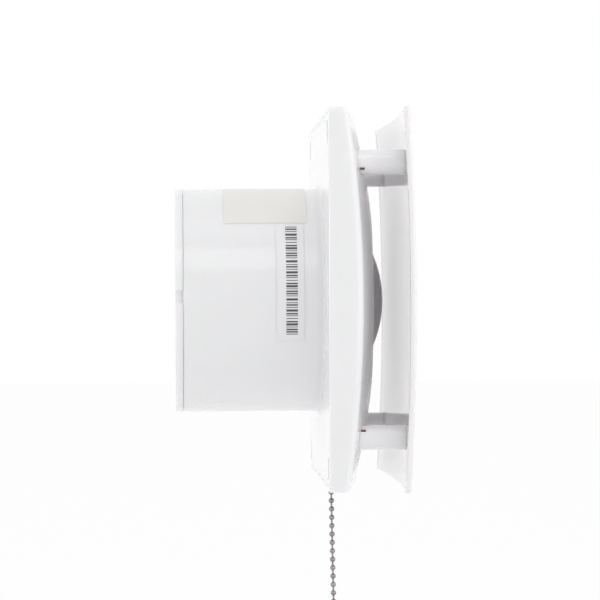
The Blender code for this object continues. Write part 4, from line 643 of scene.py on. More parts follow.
# Damper ring
# A collar pushed on to the spigot's end with a sleeve inside it, and a ledge in the sleeve that
# the two flaps close on. Two notches at mid height are for a finger to pull it off.
COLLAR_BACK = -0.0637
COLLAR_FRONT = -0.0604
SLEEVE_OUTER = 0.04715
SLEEVE_INNER = 0.0456
AXLE_X = -0.0595
AXLE_BORE = 0.00155
LEDGE = -0.0578
NOTCH_DEPTH = 0.0024
NOTCH_LOW = -0.00105
NOTCH_HIGH = 0.00425
damper = turned("damper_collar", [
    (COLLAR_BACK, SLEEVE_INNER, 0.0004), (COLLAR_BACK, SPIGOT_RADIUS, 0.0005),
    (COLLAR_FRONT, SPIGOT_RADIUS, 0.0002), (COLLAR_FRONT, SLEEVE_OUTER, 0.0002),
    (COLLAR_FRONT + 0.0116, SLEEVE_OUTER, 0.0004), (COLLAR_FRONT + 0.0116, SLEEVE_INNER, 0.0003),
    (LEDGE + 0.0020, SLEEVE_INNER, 0.0003), (LEDGE + 0.0020, SLEEVE_INNER - 0.0020, 0.0003),
    (LEDGE, SLEEVE_INNER - 0.0020, 0.0003), (LEDGE, SLEEVE_INNER, 0.0002)], white_plastic, sides=120)
cuts = []
for side in (-1, 1):
    cuts.append(block("notch", (COLLAR_BACK - 0.0003, side * (SPIGOT_RADIUS - NOTCH_DEPTH), NOTCH_LOW),
                      (COLLAR_FRONT + 0.0003, side * SPIGOT_RADIUS * 1.1, NOTCH_HIGH)))
cuts.append(rod("axle_hole", AXLE_BORE, (AXLE_X, -SLEEVE_OUTER, 0), (AXLE_X, SLEEVE_OUTER, 0)))
for cut in cuts:
    carved(damper, cut)
placed(damper, "damper_ring")


# Damper flaps, axle and springs
# Two thin half-round flaps with knuckles on one steel axle, stiffened by a rib each. A torsion
# spring holds each one shut against the ledge until the fan blows.
FLAP_RADIUS = 0.0452
FLAP_START = 0.0032
FLAP_BACK = -0.0590
FLAP_FRONT = -0.0581
AXLE_HALF = 0.0468
AXLE_RADIUS = 0.00125
TORSION_RADIUS = 0.0021
TORSION_TURNS = 4
TORSION_WIRE = 0.0006
flap_plastic = plastic("flap plastic", (0.87, 0.86, 0.88), 0.30, seep=0.3)


def flap(name, way, knuckles):
    """One half-round flap; way is +1 for the upper one."""
    angle = math.asin(FLAP_START / FLAP_RADIUS)
    outline = []
    for k in range(61):
        turn = angle + (math.pi - 2 * angle) * k / 60
        outline.append((FLAP_RADIUS * math.cos(turn), way * FLAP_RADIUS * math.sin(turn)))
    inset = 0.00025
    layers = [(FLAP_BACK, inset), (FLAP_BACK + inset, 0.0), (FLAP_FRONT - inset, 0.0),
              (FLAP_FRONT, inset)]
    middle = Vector((0.0, way * FLAP_RADIUS * 0.45))
    loops = []
    for x, shrink in layers:
        loops.append([(x, *(Vector(p) - (Vector(p) - middle).normalized() * shrink))
                      for p in outline])
    made = lofted(name, loops, flap_plastic)
    tabs = []
    for y in knuckles:
        tabs.append(rod("barrel", 0.0026, (AXLE_X, y, 0), (AXLE_X, y + 0.0100, 0)))
        tabs.append(block("tab", (FLAP_BACK + 0.0001, y + 0.0001, 0.0),
                          (FLAP_FRONT - 0.0001, y + 0.0099, way * (FLAP_START + 0.0006))))
    for tab in tabs:
        joined(made, tab)
    carved(made, rod("bore", AXLE_BORE, (AXLE_X, -0.045, 0), (AXLE_X, 0.045, 0)))
    return made


def torsion_path(way):
    """The spring's wire: four turns round the axle, then a leg on its flap's outer face."""
    path = []
    steps = 24
    for k in range(TORSION_TURNS * steps, -1, -1):
        angle = 2 * math.pi * k / steps
        path.append((AXLE_X - TORSION_RADIUS * math.cos(angle), -way * (0.0017 + 0.0012 * k / steps),
                     -way * TORSION_RADIUS * math.sin(angle)))
    last = path[-1]
    for k in range(1, 9):
        share = k / 8
        path.append((last[0] + 0.0020 * share, last[1], way * 0.0110 * share))
    return path


for name, way, knuckles in (("upper", 1, (-0.0380, 0.0100)), ("lower", -1, (-0.0200, 0.0280))):
    leaf = flap(f"flap_{name}", way, knuckles)
    placed(leaf, f"damper_flap_{name}", f"{name}_flap")
    spring = swept(f"flap_spring_{name}", torsion_path(way), TORSION_WIRE / 2, nickel, sides=10)
    placed(spring, f"damper_spring_{name}", f"{name}_flap")
ground_steel = metal("ground steel", (0.56, 0.56, 0.57), (0.42, 0.41, 0.40), 0.22, scale=3600.0)
axle = turned("flap_axle", bar(-AXLE_HALF, AXLE_HALF, AXLE_RADIUS, 0.0003), ground_steel, sides=28,
              place=Matrix.Translation((AXLE_X, 0, 0)) @ Matrix.Rotation(math.pi / 2, 4, "Z"))
placed(axle, "damper_axle")


# Motor frame
# A white moulding pressed into the duct: the cup that holds the motor, four vanes and a hoop. Two
# bosses on the cup's floor take the ends of the motor's long screws.
CUP_RADIUS = 0.0250
CUP_WALL = 0.0016
CUP_FRONT = 0.0120
CUP_BACK = -0.0220
CUP_FLOOR = CUP_BACK + CUP_WALL
SHAFT_HOLE = 0.0042
HOOP_RADIUS = 0.04715
HOOP_WALL = 0.0012
VANE_LENGTH = 0.0120
CORE_BACK = -0.0110
MOTOR_SCREWS = ((-0.0204, 0.0), (0.0204, 0.0))
motor_cup = turned("motor_cup", [
    (CUP_FRONT, CUP_RADIUS, 0.0004), (CUP_BACK, CUP_RADIUS, 0.0012), (CUP_BACK, SHAFT_HOLE, 0.0003),
    (CUP_FLOOR, SHAFT_HOLE, 0.0003), (CUP_FLOOR, CUP_RADIUS - CUP_WALL, 0.0006),
    (CUP_FRONT, CUP_RADIUS - CUP_WALL, 0.0004)], white_plastic, sides=96)
joined(motor_cup, turned("hoop", hoop(CUP_FLOOR, CUP_FLOOR + VANE_LENGTH, HOOP_RADIUS,
                                      HOOP_RADIUS - HOOP_WALL, 0.0003), sides=128))
vanes = []
for k in range(4):
    vane = block("vane", (CUP_FLOOR + 0.0001, CUP_RADIUS - CUP_WALL / 2, -0.0012),
                 (CUP_FLOOR + VANE_LENGTH - 0.0001, HOOP_RADIUS - HOOP_WALL / 2, 0.0012),
                 rounding=0.0006, steps=3)
    vane.data.transform(Matrix.Rotation(math.pi / 4 + math.pi / 2 * k, 4, "X"))
    vanes.append(vane)
joined(motor_cup, vanes)
joined(motor_cup, rods(0.0026, CUP_FLOOR - CUP_WALL / 2, -0.0183, MOTOR_SCREWS, 32))
carved(motor_cup, rods(SCREW_HOLE, CUP_BACK + CUP_WALL / 4, CORE_BACK, MOTOR_SCREWS))
placed(motor_cup, "motor_frame")


# Motor core
# The shaded-pole motor's core is a stack of thin varnished steel stampings: a ring, two poles
# with broad shoes and a round bore, held by the long screws.
CORE_FRONT = 0.0010
CORE_MIDDLE = -0.0050
CORE_RADIUS = 0.0226
CORE_INNER = 0.0182
SHOE_REACH = 0.0121
LAMINATION = 0.0005


def laminated_steel():
    """Varnished steel stampings, whose edges show as fine lines round the stack."""
    material = metal("laminated steel", (0.30, 0.31, 0.34), (0.20, 0.20, 0.23), 0.38, scale=1800.0)
    tree = material.node_tree
    normal = tree.nodes["Principled BSDF"].inputs["Normal"]
    stack = node(tree, "ShaderNodeTexWave", [("Vector", place_of(tree)),
                                             ("Scale", math.pi / 10 / LAMINATION)],
                 wave_type="BANDS", bands_direction="X")
    edges = bump(tree, stack.outputs["Fac"], 0.7, 0.00006, ("Normal", normal.links[0].from_socket))
    tree.links.new(edges.outputs["Normal"], normal)
    return material


core = turned("core_stack", [
    (CORE_FRONT, CORE_RADIUS, 0.0001), (CORE_BACK, CORE_RADIUS, 0.0001), (CORE_BACK, CORE_INNER),
    (CORE_FRONT, CORE_INNER)], laminated_steel(), sides=96)
pole_end = (CORE_RADIUS + CORE_INNER) / 2
joined(core, block("poles", (CORE_BACK, -0.0045, -pole_end), (CORE_FRONT, 0.0045, pole_end)))
joined(core, block("shoes", (CORE_BACK, -0.0075, -SHOE_REACH), (CORE_FRONT, 0.0075, SHOE_REACH)))
carved(core, rod("core_bore", 0.01055, (-0.03, 0, 0), (0.03, 0, 0), 64))
carved(core, rods(SCREW_HOLE, -0.03, 0.03, MOTOR_SCREWS))
placed(core, "stator_core")


# Motor windings
# A coil of enamelled copper wire round each pole, its turns lying side by side.
COIL_BUILD = 0.0028
COIL_HEIGHT = 0.0036
COIL_TURNS = 13
enamelled_copper = metal("enamelled copper", (0.72, 0.30, 0.13), (0.52, 0.19, 0.08), 0.20,
                         scale=3200.0)
for name, way in (("upper", 1), ("lower", -1)):
    layers = [(0.0001, 0.0)]
    for k in range(COIL_TURNS):
        for share in (0.05, 0.28, 0.5, 0.72, 0.95):
            level = (k + share) / COIL_TURNS
            bulge = 1.0 - 0.16 * abs(2 * level - 1) ** 5
            layers.append((COIL_BUILD * bulge - 0.00013 * (2 * share - 1) ** 2, COIL_HEIGHT * level))
    layers.append((0.0001, COIL_HEIGHT))
    coil_loops = []
    for build, level in layers:
        loop = []
        for k in range(64):
            turn = 2 * math.pi * (k + 0.5) / 64
            loop.append((CORE_MIDDLE + math.copysign(0.0063, math.sin(turn)) + build * math.sin(turn),
                         math.copysign(0.0048, math.cos(turn)) + build * math.cos(turn),
                         way * (SHOE_REACH + 0.0003 + level)))
        coil_loops.append(loop)
    coil = lofted(f"coil_{name}", coil_loops, enamelled_copper, ends="ring")
    placed(coil, f"winding_{name}")


# Motor brackets and bearings
# Two die-cast bridges on the core's ends hold the oil-soaked bronze sleeves in which the shaft
# turns. They are the CAD's own solids, with a cast and a sintered finish.
cast_alloy = metal("cast alloy", (0.66, 0.67, 0.69), (0.50, 0.51, 0.53), 0.36, scale=900.0,
                   depth=0.00003)
sintered_bronze = metal("sintered bronze", (0.55, 0.38, 0.20), (0.36, 0.24, 0.13), 0.42,
                        scale=2200.0, depth=0.00003)


def finished(names, finish):
    """Give CAD solids that stay in sight a finish of this file."""
    for name in names:
        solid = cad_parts[name]
        solid.data.materials.clear()
        solid.data.materials.append(finish)


finished(("front_bracket", "rear_bracket"), cast_alloy)
finished(("front_bearing", "rear_bearing"), sintered_bronze)


# Rotor and shaft
# A squirrel-cage rotor: a stack of stampings between two cast end rings, with slanting bars whose
# edges show on its side, pressed on a ground steel shaft.
ROTOR_RADIUS = 0.0103
ROTOR_BARS = 17
ROTOR_SKEW = 0.30
END_RING = 0.0092               # its radius
RING_WIDTH = 0.0012
SHAFT_BORE = 0.0019
rotor_loops = []
rotor_profile = rounded([
    (CORE_BACK, SHAFT_BORE), (CORE_BACK, END_RING, 0.0004), (CORE_BACK + RING_WIDTH, END_RING, 0.0002),
    (CORE_BACK + RING_WIDTH, ROTOR_RADIUS), (CORE_MIDDLE, ROTOR_RADIUS),
    (CORE_FRONT - RING_WIDTH, ROTOR_RADIUS), (CORE_FRONT - RING_WIDTH, END_RING, 0.0002),
    (CORE_FRONT, END_RING, 0.0004), (CORE_FRONT, SHAFT_BORE)])
for x, radius in rotor_profile:
    loop = []
    for k in range(ROTOR_BARS * 6):
        turn = 2 * math.pi * k / (ROTOR_BARS * 6)
        groove = 0.00012 if k % 6 in (0, 1) and radius >= ROTOR_RADIUS else 0.0
        lean = ROTOR_SKEW * (x - CORE_MIDDLE) / (CORE_FRONT - CORE_BACK)
        loop.append((x, (radius - groove) * math.cos(turn + lean),
                     (radius - groove) * math.sin(turn + lean)))
    rotor_loops.append(loop)
cage = lofted("rotor_cage", rotor_loops, cast_alloy, ends="ring")
placed(cage, "rotor", "rotor_set")
shaft = turned("ground_shaft", bar(-0.0466, 0.0101, 0.0016, 0.0003), ground_steel, sides=32)
placed(shaft, "motor_shaft", "rotor_set")


# Motor screws
# Two long plated steel screws through brackets and core into the cup's bosses, with slotted pan
# heads at the front.
LONG_SCREW = (0.0024, 0.0052, 0.0017)          # shank, head and the head's height
SMALL_SCREW = (0.0022, 0.0040, 0.0014)
COVER_SCREW = (0.0028, 0.0056, 0.0017)
zinc = metal("zinc plate", (0.60, 0.61, 0.62), (0.48, 0.48, 0.47), 0.24)


def pan_screws(name, node_name, places, seat, tip, shank, head, height, thread):
    """Slotted pan-head screws along X, each with its thread cut over a length from its tip."""
    profile = [(tip, 0.0), (tip, shank * 0.32)]
    pitch = shank * 0.28
    turns = int((thread - pitch) / pitch)
    for k in range(turns):
        x = tip + 0.0003 + pitch * k
        profile += [(x, shank * 0.40), (x + pitch * 0.45, shank / 2), (x + pitch * 0.55, shank / 2)]
    start = tip + 0.0003 + pitch * turns
    profile += [(start, shank * 0.42), (seat, shank * 0.42), (seat, head / 2, 0.0001),
                (seat + height * 0.45, head / 2, height * 0.45),
                (seat + height, head * 0.24, head * 0.12), (seat + height, 0.0)]
    for number, (y, z) in enumerate(places, start=1):
        made = turned(f"{name}_{number}", profile, zinc, sides=36, place=at(y, z))
        carved(made, block("driver_slot", (seat + height * 0.5, y - head, z - head * 0.09),
                           (seat + height * 2, y + head, z + head * 0.09)))
        placed(made, f"{node_name}_{number}")


pan_screws("long_screw", "motor_screw", MOTOR_SCREWS, 0.0083, -0.0213, *LONG_SCREW, thread=0.0060)


# Impeller
# Seven twisted blades round an open-backed hub, moulded in one with the boss that is pressed on
# the shaft. It sits behind the motor, as the air goes out.
HUB_FRONT = -0.0260
HUB_BACK = -0.0430
HUB_RADIUS = 0.0170
HUB_WALL = 0.0016
HUB_BOSS = 0.0045
BOSS_BACK = -0.0445
BLADES = 7
BLADE_TIP = 0.04595
BLADE_MIDDLE = (HUB_FRONT + HUB_BACK) / 2
hub = turned("fan_impeller", [
    (HUB_FRONT, SHAFT_BORE, 0.0002), (HUB_FRONT, HUB_RADIUS - 2 * HUB_WALL, 0.0018),
    (HUB_FRONT - HUB_WALL, HUB_RADIUS, 0.0018), (HUB_BACK, HUB_RADIUS, 0.0004),
    (HUB_BACK, HUB_RADIUS - HUB_WALL, 0.0004), (HUB_FRONT - 2 * HUB_WALL, HUB_RADIUS - HUB_WALL, 0.0008),
    (HUB_FRONT - HUB_WALL, HUB_BOSS, 0.0006), (BOSS_BACK, HUB_BOSS, 0.0004),
    (BOSS_BACK, SHAFT_BORE, 0.0002)], white_plastic, sides=112)


def blade(number):
    """One cambered blade, its root half way into the hub's wall and its edges thinned."""
    root = HUB_RADIUS - HUB_WALL / 3
    along_shares = [math.cos(math.pi * k / 12) / -2 for k in range(13)]
    sections = []
    for j in range(10):
        share = j / 9
        radius = root + (BLADE_TIP - root) * share
        chord = 0.0170 + 0.0070 * share
        angle = math.radians(40.0 - 16.0 * share)
        around = 2 * math.pi * number / BLADES - 0.12 * share
        loop = []
        for way in (1, -1):
            for s in along_shares[::way]:
                half = 0.00085 * (1.0 - 2.4 * s * s) * (1.0 - 0.3 * share)
                rise = 0.06 * chord * (1 - 4 * s * s) + way * half
                across = chord * s
                turn = around + (across * math.cos(angle) - rise * math.sin(angle)) / radius
                loop.append((BLADE_MIDDLE + across * math.sin(angle) + rise * math.cos(angle),
                             radius * math.cos(turn), radius * math.sin(turn)))
        sections.append(loop)
    return lofted("blade", sections)


joined(hub, [blade(k) for k in range(BLADES)])
placed(hub, "impeller", "rotor_set")
push_clip = turned("push_clip", [
    (-0.0448, SHAFT_BORE), (-0.0448, 0.0045, 0.0003), (-0.04555, 0.0045, 0.0003),
    (-0.0463, 0.00325, 0.0003), (-0.0463, SHAFT_BORE)], ground_steel, sides=48)
carved(push_clip, block("slit", (-0.0470, -0.0025, -0.00025), (-0.0459, 0.0025, 0.00025)))
placed(push_clip, "impeller_clip", "rotor_set")


# Terminal block and cable clamp
# A grey three-way block with a brass screw down each well, and the strap that grips the mains
# cable below the window in the base, on two bosses.
BLOCK_BACK = 0.0025
BLOCK_FRONT = 0.0117
TERMINALS = (-0.0370, -0.0290, -0.0210)
TERMINAL_Y = 0.0620
matt_grey = plastic("matt grey moulding", (0.62, 0.62, 0.60), 0.46, scale=2200.0, depth=0.00002)
brass = metal("plain brass", (0.78, 0.62, 0.30), (0.60, 0.46, 0.22), 0.24)
terminals = block("connector_block", (BLOCK_BACK, 0.0540, -0.0420), (BLOCK_FRONT, 0.0700, -0.0160),
                  matt_grey, rounding=0.0005)
carved(terminals, rods(0.0020, BLOCK_FRONT - 0.0050, 0.02, [(TERMINAL_Y, z) for z in TERMINALS], 32))
carved(terminals, [rod("bore", 0.0015, (0.0051, 0.05, z), (0.0051, 0.08, z), 24) for z in TERMINALS])
carved(terminals, [block("groove", (0.0100, 0.05, z - 0.0006), (0.02, 0.08, z + 0.0006))
                   for z in (-0.0330, -0.0250)])
placed(terminals, "terminal_block")
for number, z in enumerate(TERMINALS, start=1):
    grub = turned(f"grub_screw_{number}", [
        (0.0070, 0.0), (0.0070, 0.0014, 0.0002), (0.0074, 0.0017, 0.0001), (0.0091, 0.0017, 0.0001),
        (0.0095, 0.0014, 0.0002), (0.0095, 0.0)], brass, sides=36, place=at(TERMINAL_Y, z))
    carved(grub, block("grub_slot", (0.0086, TERMINAL_Y - 0.004, z - 0.0003),
                       (0.02, TERMINAL_Y + 0.004, z + 0.0003)))
    placed(grub, f"terminal_screw_{number}")
strap = block("cable_strap", (0.0055, 0.0520, 0.0200), (0.0079, 0.0740, 0.0260), matt_grey,
              rounding=0.0005)
joined(strap, rod("ridge", 0.00145, (0.0055, 0.0600, 0.0230), (0.0055, 0.0660, 0.0230)))
carved(strap, rods(SCREW_HOLE, 0.0, 0.02, CLAMP_SCREWS))
placed(strap, "cable_clamp")
pan_screws("strap_screw", "clamp_screw", CLAMP_SCREWS, 0.0082, 0.0014, *SMALL_SCREW, thread=0.0045)


# Control board
# A glass-fibre board with the humidity sensor behind the cover's small holes, a film capacitor, a
# relay and two trimmers that are set with a screwdriver.
BOARD_BACK = 0.0037
BOARD_FRONT = 0.0053
PARTS_BACK = 0.0056
TRIMMERS = (-0.0260, -0.0170)
TRIMMER_Y = -0.0600
SENSOR_PLACE = (-0.0600, -0.0379)


def solder_resist():
    """Green lacquer over copper tracks, which stand up a little and show lighter."""
    material, tree, shader = node_tree_of("green solder resist")
    place = place_of(tree)
    flat = node(tree, "ShaderNodeMapping", [("Vector", place), ("Rotation", (0.0, math.pi / 2, 0.0))])
    cells = node(tree, "ShaderNodeTexBrick", [
        ("Vector", flat), ("Color1", (0.03, 0.24, 0.10, 1.0)), ("Color2", (0.04, 0.27, 0.12, 1.0)),
        ("Mortar", (0.015, 0.16, 0.06, 1.0)), ("Scale", 130.0), ("Mortar Size", 0.06)])
    gloss = maths(tree, "MULTIPLY_ADD", noise(tree, place, 1800.0), 0.10, 0.24)
    relief = bump(tree, cells.outputs["Fac"], 0.5, 0.00004, invert=True)
    tree.links.new(cells.outputs["Color"], shader.inputs["Base Color"])
    tree.links.new(gloss.outputs["Value"], shader.inputs["Roughness"])
    tree.links.new(relief.outputs["Normal"], shader.inputs["Normal"])
    return material


board = block("circuit_board", (BOARD_BACK, -0.0750, -0.0505), (BOARD_FRONT, -0.0545, -0.0045),
              solder_resist(), rounding=0.0002)
carved(board, rod("duct_relief", 0.05075, (-0.01, 0, 0), (0.02, 0, 0), 160))
carved(board, rods(SCREW_HOLE, 0.0, 0.02, BOARD_SCREWS))
placed(board, "control_board")
solder = metal("solder", (0.66, 0.66, 0.67), (0.52, 0.52, 0.52), 0.18)
joints = merged("solder_joints", [
    turned("joint", [(BOARD_FRONT - 0.00005, 0.0), (BOARD_FRONT - 0.00005, 0.0007),
                     (BOARD_FRONT + 0.0001, 0.0005, 0.0001), (BOARD_FRONT + 0.00022, 0.0)],
           sides=20, place=at(y, z))
    for y, z in ((-0.0639, -0.0400), (-0.0639, -0.0370), (-0.0655, -0.0300), (-0.0655, -0.0360),
                 (-0.0665, -0.0120), (-0.0665, -0.0220), (-0.0560, -0.0413), (-0.0575, -0.0450),
                 (-0.0600, -0.0480), (-0.0630, -0.0480))])
settled(joints.data)
joints.data.materials.append(solder)
placed(joints, None)


def on_board(name, node_name, place, size, finish, rounding):
    """A component standing on the board, from its middle and its height, width and length."""
    y, z = place
    height, width, length = size
    made = block(name, (PARTS_BACK, y - width / 2, z - length / 2),
                 (PARTS_BACK + height, y + width / 2, z + length / 2), finish, rounding, 3)
    placed(made, node_name)
    return made


cream_plastic = plastic("matt cream moulding", (0.82, 0.78, 0.66), 0.42, scale=2200.0, depth=0.00002)
sensor = on_board("sensor_case", "humidity_sensor", SENSOR_PLACE, (0.0050, 0.0080, 0.0080),
                  cream_plastic, 0.0005)
carved(sensor, [
    block("slit", (0.0092, SENSOR_PLACE[0] - 0.0028, SENSOR_PLACE[1] + 0.0014 * k - 0.00035),
          (0.02, SENSOR_PLACE[0] + 0.0028, SENSOR_PLACE[1] + 0.0014 * k + 0.00035))
    for k in (-2, -1, 0, 1, 2)])
on_board("film_capacitor", "board_capacitor", (-0.0708, -0.0170), (0.0064, 0.0060, 0.0140),
         plastic("brown dipped lacquer", (0.22, 0.10, 0.05), 0.22, scale=700.0, depth=0.00004),
         0.0014)
relay = on_board("relay_case", "board_relay", (-0.0700, -0.0330), (0.0060, 0.0075, 0.0120),
                 plastic("black moulding", (0.03, 0.03, 0.03), 0.38, scale=2400.0, depth=0.00002),
                 0.0005)
carved(relay, rod("relay_vent", 0.0004, (0.0112, -0.0720, -0.0285), (0.02, -0.0720, -0.0285), 16))
trimmer_blue = plastic("blue moulding", (0.06, 0.14, 0.42), 0.36, scale=2400.0, depth=0.00002)
for number, z in enumerate(TRIMMERS, start=1):
    case = on_board(f"trimmer_case_{number}", f"trimmer_body_{number}", (TRIMMER_Y, z),
                    (0.0036, 0.0064, 0.0064), trimmer_blue, 0.0004)
    carved(case, turned("dial_ring", hoop(0.0088, 0.02, 0.0027, 0.0030), sides=40,
                        place=at(TRIMMER_Y, z)))
    dial = turned(f"trimmer_dial_{number}", [
        (0.0095, 0.0), (0.0095, 0.0024, 0.0001), (0.0110, 0.0022, 0.0003), (0.0110, 0.0)],
        cream_plastic, sides=40, place=at(TRIMMER_Y, z))
    carved(dial, block("dial_slot", (0.01025, TRIMMER_Y - 0.004, z - 0.0004),
                       (0.02, TRIMMER_Y + 0.004, z + 0.0004)))
    placed(dial, f"trimmer_knob_{number}", f"knob_{number}")
pan_screws("board_fixing", "board_screw", BOARD_SCREWS, 0.0056, 0.0014, *SMALL_SCREW, thread=0.0030)


# Pull switch
# A grey box with a lid, at the bottom of the base. The chain pulls the cream slider down against
# a small spring, which pushes it back up.
SWITCH_HALF = 0.0110            # across
SWITCH_BACK = 0.0025
SWITCH_FRONT = 0.0110
SWITCH_LOW = -0.0750
SWITCH_HIGH = -0.0580
STEM_X = 0.0050
SPRING_WIRE = 0.0005
SPRING_X = 0.0073
SPRING_Y = 0.0040
SPRING_RADIUS = 0.0022
SPRING_TURNS = 5
SPRING_LOW = -0.07295
SPRING_HIGH = -0.06335
SPRING_STEPS = 24
switch_box = block("switch_box", (SWITCH_BACK, -SWITCH_HALF, SWITCH_LOW),
                   (SWITCH_FRONT, SWITCH_HALF, SWITCH_HIGH), matt_grey, rounding=0.0004)
carved(switch_box, block("hollow", (SWITCH_BACK + 0.0010, -0.0095, SWITCH_LOW + 0.0015),
                         (0.03, 0.0095, SWITCH_HIGH - 0.0015)))
carved(switch_box, rod("stem_hole", 0.0014, (STEM_X, 0, SWITCH_LOW - 0.005), (STEM_X, 0, SWITCH_LOW + 0.003)))
placed(switch_box, "switch_body")
switch_cover = block("switch_cover", (0.0113, -SWITCH_HALF, SWITCH_LOW),
                     (0.0125, SWITCH_HALF, SWITCH_HIGH), matt_grey, rounding=0.0003)
middle = (SWITCH_LOW + SWITCH_HIGH) / 2
carved(switch_cover, rods(0.0011, 0.01235, 0.02, ((-0.0080, middle), (0.0080, middle))))
placed(switch_cover, "switch_lid")
slider = block("pull_slider", (STEM_X - 0.0012, -0.0070, -0.0628), (0.0107, 0.0070, -0.0598),
               cream_plastic, rounding=0.0003)
joined(slider, rod("stem", 0.0011, (STEM_X, 0, -0.0780), (STEM_X, 0, -0.0613)))
placed(slider, "switch_slider", "switch_pull")
coil_route = []
for k in range(SPRING_TURNS * SPRING_STEPS + 1):
    turn = 2 * math.pi * k / SPRING_STEPS
    coil_route.append((SPRING_X + SPRING_RADIUS * math.cos(turn), SPRING_Y + SPRING_RADIUS * math.sin(turn),
                       SPRING_LOW + (SPRING_HIGH - SPRING_LOW) * k / (SPRING_TURNS * SPRING_STEPS)))
switch_coil = swept("switch_coil", coil_route, SPRING_WIRE / 2, nickel, sides=12)
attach(switch_coil, "housing")
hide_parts("switch_spring")
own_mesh(switch_coil)
eyelet = turned("chain_eyelet", [
    (-0.0809, 0.0019, 0.0003), (-0.0809, 0.0036, 0.0002), (-0.0803, 0.0036, 0.0002), (-0.0803, 0.0026),
    (-0.0777, 0.0026, 0.0002), (-0.0777, 0.0019, 0.0002)], white_plastic, sides=48,
    place=Matrix.Translation((STEM_X, 0, 0)) @ TO_Z)
placed(eyelet, "chain_guide")


# Internal leads
# Two short single leads held at both ends: a brown one from the terminals to the switch, and a
# blue one from the switch to the board. Their bared ends are tinned.
LEAD_RADIUS = 0.0008
LEADS = (
    ("brown", "lead_supply", (0.22, 0.10, 0.05), (
        (0.0051, 0.0537, -0.0370), (0.0051, 0.0505, -0.0370), (0.00675, 0.0427, -0.0505),
        (0.00675, 0.0279, -0.0615), (0.00675, 0.0148, -0.0665), (0.00675, 0.0113, -0.0665))),
    ("blue", "lead_switched", (0.06, 0.14, 0.42), (
        (0.00675, -0.0113, -0.0665), (0.00675, -0.0148, -0.0665), (0.00675, -0.0312, -0.0605),
        (0.0045, -0.0507, -0.0413), (0.0045, -0.0542, -0.0413))))


def through(points, steps):
    """Points on a smooth curve through the given ones."""
    points = [Vector(p) for p in points]
    ways = [(b - a).normalized() for a, b in zip(points[:1] + points[:-1], points[1:] + points[-1:])]
    path = []
    for a, b, way_a, way_b in zip(points, points[1:], ways, ways[1:]):
        length = (b - a).length
        for k in range(steps):
            t = k / steps
            path.append(a * (2 * t ** 3 - 3 * t ** 2 + 1) + b * (3 * t ** 2 - 2 * t ** 3)
                        + way_a * length * (t ** 3 - 2 * t ** 2 + t) + way_b * length * (t ** 3 - t ** 2))
    return path + [points[-1]]


for colour_name, node_name, colour, points in LEADS:
    lead = swept(f"{colour_name}_lead", through(points, 10), LEAD_RADIUS,
                 plastic(f"{colour_name} lead cover", colour, 0.34, scale=1800.0), sides=16)
    placed(lead, node_name)


# Front cover
# A domed square shell, moulded white, that slips over the base. Its round inlet has a rolled lip
# and a collar down to the duct; the posts pass through it, and six small holes let room air in
# to the humidity sensor.
INLET_RADIUS = 0.0500
COVER_HEIGHTS = (0.0249, 0.0139, 0.0080)      # crown, edge and corner
LIP = 0.0016
COVER_WALL = 0.0020
ROUNDING = 0.0022
COVER_CORNER = 0.0006
VENT_PITCH = 0.0021


def pillow(y, z, half, crown, edge, corner):
    """Height of a square dome that is domed both ways."""
    a = (y / half) ** 2
    b = (z / half) ** 2
    return crown - (crown - edge) * (a + b) + (crown - 2 * edge + corner) * a * b


def cover_height(y, z):
    return pillow(y, z, COVER_HALF, *COVER_HEIGHTS)


def cover_inside(y, z):
    return cover_height(y, z) - COVER_WALL


rim = cover_height(INLET_RADIUS, 0.0)
lip_radius = INLET_RADIUS - LIP
collar_back = DUCT_FRONT + 0.0004
cover_loops = [round_loop(collar_back, lip_radius), round_loop(rim - LIP, lip_radius)]
for k in range(1, 6):
    turn = math.pi / 2 * k / 6
    cover_loops.append(square_loop(
        COVER_HALF, 0.004, lambda y, z: rim - LIP + LIP * math.sin(turn) + (cover_height(y, z) - rim) * k / 6,
        0.0, INLET_RADIUS - LIP * math.cos(turn)))
cover_loops += [square_loop(COVER_HALF - ROUNDING, 0.0004, cover_height, k / 14, INLET_RADIUS)
                for k in range(15)]
for k in range(1, 6):
    turn = math.pi / 2 * k / 6
    out = ROUNDING * math.sin(turn)
    down = ROUNDING * (1 - math.cos(turn))
    cover_loops.append(square_loop(COVER_HALF - ROUNDING + out, 0.0004 + 0.0002 * out / ROUNDING,
                                   lambda y, z: cover_height(y, z) - down))
cover_loops += [square_loop(COVER_HALF, COVER_CORNER, lambda y, z: cover_height(y, z) - ROUNDING),
                square_loop(COVER_HALF, COVER_CORNER, 0.0003),
                square_loop(COVER_HALF - 0.0003, COVER_CORNER, 0.0),
                square_loop(COVER_HALF - COVER_WALL, 0.0010, 0.0)]
cover_loops += [square_loop(COVER_HALF - COVER_WALL, 0.0010, cover_inside, share,
                            lip_radius + COVER_WALL) for share in (1.0, 0.75, 0.5, 0.25, 0.0)]
cover_loops.append(round_loop(collar_back, lip_radius + COVER_WALL))
cover = lofted("domed_cover", cover_loops, white_plastic, ends="ring")
joined(cover, [
    rod("pillar", 0.0040, (0.0103, y, z), (cover_height(y, z) - 0.0010, y, z))
    for y, z in COVER_SCREWS])
carved(cover, rods(0.0031, 0.0125, 0.03, COVER_SCREWS, 32))
holes = rods(0.0017, FLOOR, 0.03, COVER_SCREWS) + rods(0.0055, FLOOR, 0.03, POSTS, 48)
holes += rods(0.0006, FLOOR, 0.03, [(SENSOR_PLACE[0], SENSOR_PLACE[1] + VENT_PITCH * (k - 2.5))
                                    for k in range(6)], 16)
holes.append(rod("eyelet", 0.0029, (STEM_X, 0.0, -0.0880), (STEM_X, 0.0, -0.0760), 32))
carved(cover, holes)
placed(cover, "front_cover")
